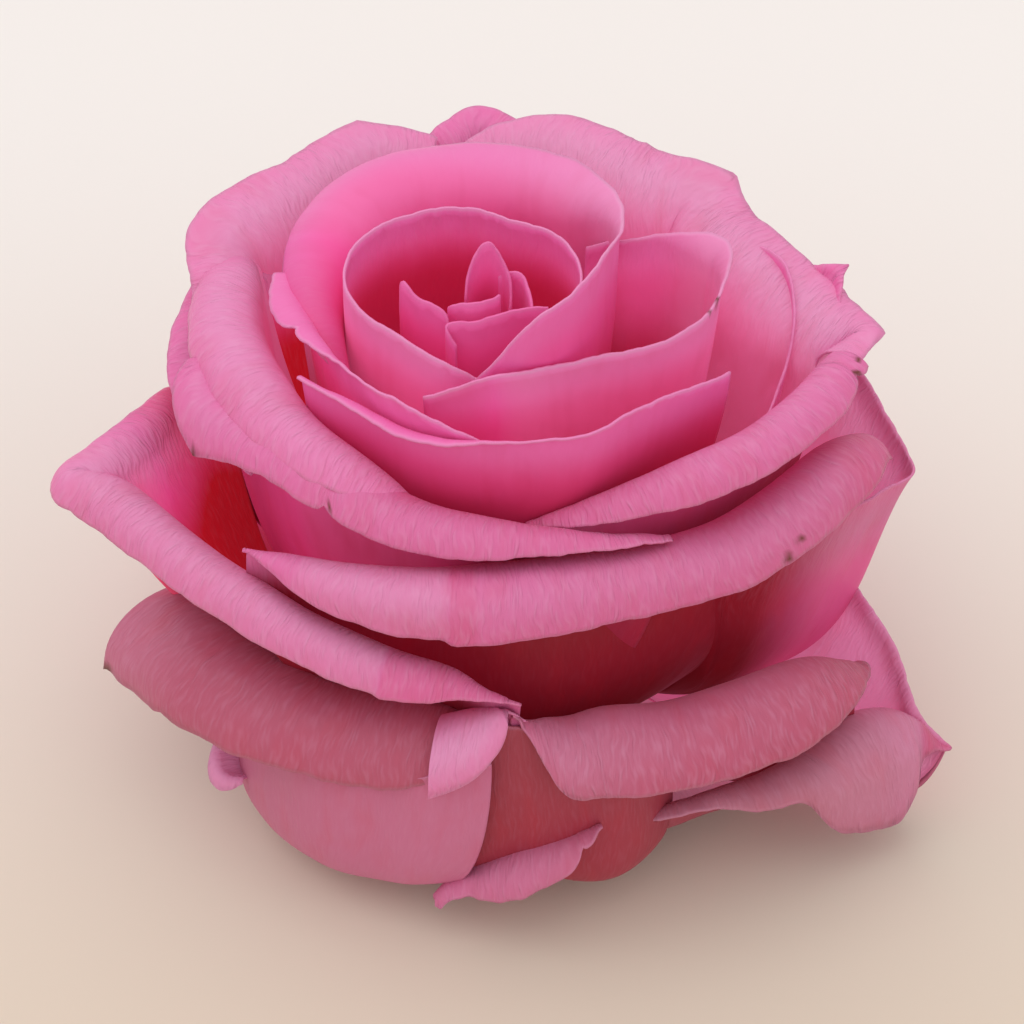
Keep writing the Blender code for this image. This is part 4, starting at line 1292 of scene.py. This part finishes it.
@dataclass(frozen=True)
class PetalFinish:
    """The skin of a whorl's petals: colours from rim to depth, fresh and dusty, and its silk.

    lip colours the part of the petal within lip_reach of the rim, in mm, and wall the rest. deep
    is the painted shade colour of the inner face's depth and shadow the painted shadow colour of
    the outer one. streaks are the fine pale lines, partly veins and partly painted sheen on the
    fine relief. under is the colour just below the rim, painted shade there that is partly the
    lip's own redder colour. mottle is the soft clouds, which lean at random towards the deep
    colour, and edge is a painted highlight along the rim. The grains are how fine a pattern is
    across the petal and along it, for each mm, and swerve is how far the clouds push the veins
    aside.
    """

    name: str
    rim: Colour = (0.84, 0.46, 0.68)
    lip: Colour = (0.79, 0.21, 0.47)
    wall: Colour = (0.92, 0.10, 0.38)
    deep: Colour = (0.62, 0.012, 0.028)
    shadow: Colour = (0.34, 0.010, 0.028)
    dusty_lip: Colour = (0.46, 0.085, 0.13)
    dusty_wall: Colour = (0.56, 0.17, 0.25)
    lip_reach: float = 15.0
    veins_and_sheen: float = 0.17
    under: float = 0.3
    mottle: float = 0.5
    edge: float = 0.15
    spot: Colour = (0.16, 0.04, 0.02)
    roughness: float = 0.52
    relief_depth: float = 0.0018
    cloud_grain: tuple[float, float] = (0.16, 0.12)
    hair_grain: tuple[float, float] = (2.4, 0.4)
    vein_grain: tuple[float, float] = (0.45, 0.07)
    swerve: float = 3.0
    sheen: float = 0.05
    sheen_roughness: float = 0.5
    sheen_tint: Colour = (1.0, 0.72, 0.86)
    refraction: float = 1.36

    def material(self) -> bpy.types.Material:
        """Builds the petal material.

        Returns:
            The material.
        """
        graph = Graph(self.name)
        across, from_rim, age = graph.attribute("petal_run")
        pale, depth, brown = graph.attribute("petal_tone")
        painted_glow, outside, _ = graph.attribute("petal_glow")
        cloud = graph.grain(across, from_rim, self.cloud_grain, 11.0, 2.0)
        veins = across + cloud * self.swerve
        hair = graph.grain(veins, from_rim, self.hair_grain, 0.0, 1.0)
        vein = graph.grain(veins, from_rim, self.vein_grain, 3.0, 1.0)
        near_rim = 1.0 - from_rim.smooth(self.lip_reach * 0.3, self.lip_reach)
        wall = graph.mix(age, rgba(self.wall), rgba(self.dusty_wall))
        lip = graph.mix(age, rgba(self.lip), rgba(self.dusty_lip))
        colour = graph.mix(near_rim, wall, lip)
        # Lighter by pale, partly painted light and partly the face's own tone.
        colour = graph.mix(pale, colour, rgba(self.rim))
        # Painted shade: the deep colour inside and the painted shadow colour outside, by depth
        # below the crest.
        deep = graph.mix(outside, rgba(self.deep), rgba(self.shadow))
        colour = graph.mix(depth - pale, colour, deep)
        # Painted shade just under the rim, partly the lip's own redder colour.
        under = (1.0 - from_rim.smooth(0.5, 6.0)) * self.under
        colour = graph.mix(under, colour, graph.mix(age, rgba(self.wall), rgba(self.dusty_lip)))
        colour = graph.mix((vein + cloud) * self.mottle * -1.0, colour, rgba(self.deep))
        # Pale streaks, partly veins and partly painted sheen on the fine relief.
        silk = (near_rim * 0.8 + 0.2) * (1.0 - outside * 0.6) * self.veins_and_sheen
        hair_veins_and_sheen = hair.smooth(-0.1, 0.3) * silk
        colour = graph.mix(hair_veins_and_sheen, colour, rgba(self.rim))
        # Painted highlight along the rim.
        edge = 1.0 - from_rim.smooth(0.05, 0.6)
        colour = graph.mix(edge * self.edge, colour, rgba(self.rim))
        colour = graph.mix(brown, colour, rgba(self.spot))
        relief = hair * silk + cloud * 0.2
        graph.dress(colour, self.roughness + cloud * 0.2, relief, self.relief_depth)
        # Painted glow: the petal emits its own colour, for light through it and fill in shade,
        # though it is no lamp.
        inputs = {0: colour, "Scale": painted_glow}
        painted_emission = graph.node("ShaderNodeVectorMath", {"operation": "SCALE"}, inputs)
        graph.connect(graph.shader.inputs["Emission Color"], painted_emission)
        graph.material.cycles.emission_sampling = "NONE"
        graph.set_constants(
            {
                "Emission Strength": 1.0,
                "Sheen Weight": self.sheen,
                "Sheen Roughness": self.sheen_roughness,
                "Sheen Tint": rgba(self.sheen_tint),
                "IOR": self.refraction,
            }
        )
        return graph.material


@dataclass(frozen=True)
class GreenFinish:
    """The green skin of the sepals and the receptacle, with its grain and its clouds."""

    name: str
    light: Colour
    dark: Colour
    grain_scale: float = 900.0
    cloud_scale: float = 160.0
    relief_depth: float = 0.0002
    softness: float = 0.1
    soft_depth: float = 0.001

    def material(self) -> bpy.types.Material:
        """Builds the green material.

        Returns:
            The material.
        """
        graph = Graph(self.name)
        where = graph.place()
        grain = graph.noise(where, 3.0, self.grain_scale)
        cloud = graph.noise(where, 2.0, self.cloud_scale)
        share = (grain * 0.4 + cloud * 0.6).smooth(0.3, 0.7)
        colour = graph.mix(share, rgba(self.dark), rgba(self.light))
        graph.dress(colour, 0.5 + grain * 0.2, grain + cloud * 2.0, self.relief_depth)
        graph.set_constants(
            {"Subsurface Weight": self.softness, "Subsurface Scale": self.soft_depth}
        )
        return graph.material


@dataclass(frozen=True)
class Whorl:
    """A ring of petals that share a finish, a fineness of mesh and the fades of their faces,
    painted shade and glow.
    """

    name: str
    petals: tuple[Petal, ...]
    finish: PetalFinish
    columns: int = 90
    rows: int = 52
    inner: Fade = Fade(7, 30)
    outer: Fade = Fade(8, 30)

    def build(self) -> list[bpy.types.Object]:
        """Builds and dresses every petal of the whorl.

        Returns:
            The new pieces.
        """
        material = self.finish.material()
        return [self.build_petal(petal, material) for petal in self.petals]

    def build_petal(self, petal: Petal, material: bpy.types.Material) -> bpy.types.Object:
        """Builds one petal as a thin closed blade.

        Args:
            petal: Its ribs and belly.
            material: The whorl's material.

        Returns:
            The new piece.
        """
        wear_and_painted_light = WEAR_AND_PAINTED_LIGHT.get(petal.name, PLAIN_WEAR if petal.rolls_over else UPRIGHT_WEAR)
        shape = PetalShape(petal, wear_and_painted_light)
        points, places = shape.worn_surface(self.columns, self.rows)
        piece, row, column = bent_grid(f"petal_{petal.name}", points)
        apply_modifier(piece, "SOLIDIFY", thickness=PETAL_THICKNESS * MM, offset=0.0)
        fades = {Side.OUTER: wear_and_painted_light.outer or self.outer, Side.INNER: wear_and_painted_light.inner or self.inner}
        sides = list(fades) if petal.turns_left else list(reversed(fades))
        faces = [shape.tones(points, places, side, fades[side]) for side in sides]
        for name, first, second in zip(("petal_run", "petal_tone", "petal_glow"), *faces):
            values = np.concatenate([first[row, column], second[row, column]])
            write_attribute(piece, name, values)
        shade_smooth(piece)
        piece.data.materials.clear()
        piece.data.materials.append(material)
        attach(piece, "root")
        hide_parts("bloom")
        return piece


@dataclass(frozen=True)
class Calyx:
    """The receptacle and the five sepals that bend back under the petals.

    hip_outline lists radius and height. sepal_line is a sepal's curve in the same terms,
    sepal_trough how far its middle sinks and sepal_rib how high its middle vein stands.
    """

    hip_outline: Bands = (
        (4.2, 0.0), (4.35, 0.25), (4.5, 1.6), (5.8, 3.8), (6.3, 6.0), (5.9, 8.0), (5.5, 9.6),
        (5.7, 11.2),
    )
    hip_sides: int = 64
    hip_edge: float = 50.0
    sepal_count: int = 5
    sepal_line: Bands = ((4.2, 9.4), (9.0, 10.0), (14.0, 7.0), (18.5, 0.5))
    sepal_rows: int = 60
    sepal_columns: int = 25
    sepal_half_width: float = 3.4
    sepal_thickness: float = 0.7
    sepal_trough: float = 0.8
    sepal_rib: float = 0.25
    sepal_rib_width: float = 0.12
    sepal_taper: float = 1.35
    sepal_fullness: float = 0.8
    sepal_ruffle: float = 0.06
    sepal_ruffles: float = 40.0
    first_azimuth: float = 18.0
    finish: GreenFinish = GreenFinish("sepal_green", (0.20, 0.33, 0.08), (0.09, 0.19, 0.04))

    def build(self) -> list[bpy.types.Object]:
        """Builds and dresses the receptacle and the sepals.

        Returns:
            The new pieces.
        """
        material = self.finish.material()
        pieces = [self.build_hip()]
        for number in range(self.sepal_count):
            pieces.append(self.build_sepal(number))
        for piece in pieces:
            piece.data.materials.clear()
            piece.data.materials.append(material)
            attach(piece, "root")
            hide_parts("calyx")
        return pieces

    def build_hip(self) -> bpy.types.Object:
        """Builds the receptacle by extruding a disc up through its outline.

        Returns:
            The new piece.
        """
        select_nothing()
        radius = self.hip_outline[0][0] * MM
        bpy.ops.mesh.primitive_circle_add(vertices=self.hip_sides, radius=radius, fill_type="NGON")
        piece = bpy.context.object
        piece.name = "receptacle"
        piece.data.name = "receptacle"
        bpy.ops.object.mode_set(mode="EDIT")
        bpy.ops.mesh.select_all(action="SELECT")
        for (before, low), (after, high) in zip(self.hip_outline, self.hip_outline[1:]):
            rise = (0.0, 0.0, (high - low) * MM)
            bpy.ops.mesh.extrude_region_move(TRANSFORM_OT_translate={"value": rise})
            scale = after / before
            centre = (0.0, 0.0, high * MM)
            bpy.ops.transform.resize(value=(scale, scale, 1.0), center_override=centre)
        bpy.ops.mesh.select_all(action="SELECT")
        bpy.ops.mesh.normals_make_consistent(inside=False)
        bpy.ops.object.mode_set(mode="OBJECT")
        apply_modifier(piece, "SUBSURF", levels=1, render_levels=1)
        bpy.ops.object.shade_smooth_by_angle(angle=math.radians(self.hip_edge))
        return piece

    def build_sepal(self, number: int) -> bpy.types.Object:
        """Builds one sepal.

        Args:
            number: Which of the sepals, from 0.

        Returns:
            The new piece.
        """
        turn = math.radians(self.first_azimuth + 360.0 / self.sepal_count * number)
        outwards = np.array([math.cos(turn), math.sin(turn), 0.0])
        sideways = np.array([-math.sin(turn), math.cos(turn), 0.0])
        line = np.array(self.sepal_line)
        rows = []
        for t in np.linspace(0.0, 1.0, self.sepal_rows):
            radius, height = bezier(tuple(line), t)
            width = self.sepal_half_width * math.cos(self.sepal_taper * t) ** self.sepal_fullness
            width *= 1.0 + self.sepal_ruffle * math.sin(self.sepal_ruffles * t + number)
            row = []
            for side in np.linspace(-1.0, 1.0, self.sepal_columns):
                trough = self.sepal_trough * (1.0 - side * side) * (1.0 - t)
                rib = self.sepal_rib * math.exp(-((side / self.sepal_rib_width) ** 2))
                low = height - trough + rib
                row.append(outwards * radius + sideways * width * side + (0.0, 0.0, low))
            rows.append(row)
        piece, _, _ = bent_grid(f"sepal_{number + 1}", np.array(rows))
        apply_modifier(piece, "SOLIDIFY", thickness=self.sepal_thickness * MM, offset=0.0)
        for vertex in piece.data.vertices:
            vertex.co.z = max(vertex.co.z, 0.0)
        shade_smooth(piece)
        return piece


@dataclass(frozen=True)
class Sun:
    """A sun that is as wide as a softbox.

    towards is where it stands, as seen from the bloom, and spread how wide it looks, in degrees.
    """

    name: str
    towards: Place
    strength: float
    spread: float
    colour: Colour

    def build(self) -> None:
        """Builds the light."""
        x, y, z = self.towards
        select_nothing()
        bpy.ops.object.light_add(type="SUN", location=self.towards)
        light = bpy.context.object
        light.name = self.name
        light.data.angle = math.radians(self.spread)
        light.data.energy = self.strength
        light.data.color = self.colour
        turn = math.atan2(y, x) + math.pi / 2.0
        light.rotation_euler = (math.atan2(math.hypot(x, y), z), 0.0, turn)


@dataclass(frozen=True)
class Studio:
    """The floor, the light and the camera, in metres.

    The floor's colour passes from near to far between the two places of the gradient along Y.
    focal_pixels is the focal length in the photograph's pixels.
    """

    floor_size: float = 6.0
    floor_near: Colour = (0.74, 0.61, 0.48)
    floor_far: Colour = (0.90, 0.86, 0.83)
    gradient_near: float = -0.12
    gradient_far: float = 0.14
    grain_scale: float = 300.0
    grain_depth: float = 0.00002
    key: Sun = Sun("key", (-0.3, 0.25, 0.95), 0.9, 80.0, (1.0, 0.985, 0.97))
    fill: Sun = Sun("fill", (0.3, -0.8, 0.6), 0.35, 90.0, (1.0, 0.95, 0.96))
    room_colour: Colour = (0.97, 0.95, 0.94)
    room_strength: float = 0.72
    elevation: float = 45.0
    distance: float = 0.4
    target: Place = (0.002, 0.0, 0.033)
    focal_pixels: float = 3300.0
    image_pixels: float = 1024.0
    sensor: float = 36.0
    clip_start: float = 0.01

    def build(self) -> None:
        """Builds everything round the object."""
        self.build_floor()
        self.key.build()
        self.fill.build()
        self.build_room()
        self.build_camera()

    def build_floor(self) -> None:
        """Builds the pale floor, a little darker towards the front."""
        select_nothing()
        bpy.ops.mesh.primitive_plane_add(size=self.floor_size)
        floor = bpy.context.object
        floor.name = "floor"
        graph = Graph("floor_paper")
        where = graph.place()
        back = graph.node("ShaderNodeSeparateXYZ", {}, {0: where}, "Y")
        share = back.smooth(self.gradient_near, self.gradient_far)
        grain = graph.noise(where, 2.0, self.grain_scale)
        colour = graph.mix(share, rgba(self.floor_near), rgba(self.floor_far))
        graph.dress(colour, 0.8 + grain * 0.1, grain, self.grain_depth)
        floor.data.materials.append(graph.material)

    def build_room(self) -> None:
        """Builds the pale room round it all and sets the plain view."""
        scene = bpy.context.scene
        world = bpy.data.worlds.new("pale_room")
        world.use_nodes = True
        background = world.node_tree.nodes["Background"]
        background.inputs["Color"].default_value = rgba(self.room_colour)
        background.inputs["Strength"].default_value = self.room_strength
        scene.world = world
        scene.view_settings.view_transform = "Standard"

    def build_camera(self) -> None:
        """Builds the camera at the photograph's viewing angle."""
        tilt = math.radians(self.elevation)
        x, y, z = self.target
        place = (x, y - self.distance * math.cos(tilt), z + self.distance * math.sin(tilt))
        select_nothing()
        bpy.ops.object.camera_add(location=place, rotation=(math.pi / 2.0 - tilt, 0.0, 0.0))
        camera = bpy.context.object
        camera.data.sensor_width = self.sensor
        camera.data.lens = self.focal_pixels * self.sensor / self.image_pixels
        camera.data.clip_start = self.clip_start
        bpy.context.scene.camera = camera


def main() -> None:
    """Builds the bloom, its calyx and the studio."""
    logging.basicConfig(level=logging.INFO, format="%(name)s: %(message)s")
    # deep and shadow are painted shade colours, under the painted shade just below the rim.
    heart = PetalFinish(
        "heart_skin", lip=(0.88, 0.13, 0.42), deep=(0.58, 0.012, 0.07), shadow=(0.60, 0.012, 0.07),
        lip_reach=6.0, veins_and_sheen=0.02, under=0.0, mottle=0.3, edge=0.1,
    )
    silk = PetalFinish(
        "inner_skin", lip=(0.88, 0.15, 0.46), deep=(0.60, 0.012, 0.06), shadow=(0.60, 0.012, 0.06),
        lip_reach=8.0, veins_and_sheen=0.04, under=0.0, mottle=0.4, edge=0.3,
    )
    lips = PetalFinish("lip_skin")
    dusty = PetalFinish("outer_skin", lip_reach=40.0, veins_and_sheen=0.11, under=0.15)
    hidden = PetalFinish(
        "back_skin", wall=(0.84, 0.17, 0.42), deep=(0.58, 0.03, 0.09), lip_reach=30.0,
    )
    # The fades after each finish paint shade below the crest, and glow, on the inner and outer
    # faces.
    whorls = (
        Whorl(
            "heart", HEART_PETALS, heart, 70, 40,
            Fade(1, 12, 0.9, 0, 0.1), Fade(3, 18, 0.8, 0, 0.08),
        ),
        Whorl("cup", CUP_PETALS, silk, 120, 48, Fade(4, 20, 1, 0, 0.1), Fade(8, 30)),
        Whorl("rolled", ROLLED_PETALS, lips, 120, 56, Fade(8, 26, 1, 0, 0.1), Fade(4, 16)),
        Whorl("open", OPEN_PETALS, lips, 140, 60, Fade(6, 22), Fade(3, 12)),
        Whorl("outer", OUTER_PETALS, dusty, 140, 56, Fade(6, 22), Fade(20, 60)),
        Whorl("scraps", SCRAPS, dusty, 30, 40),
        Whorl("back", BACK_PETALS, hidden, 64, 40, Fade(6, 24), Fade(14, 50, 0.4)),
    )
    for part in (*whorls, Calyx()):
        for piece in part.build():
            LOG.info("%s: %d faces", piece.name, len(piece.data.polygons))
    Studio().build()


if __name__ == "__main__":
    main()
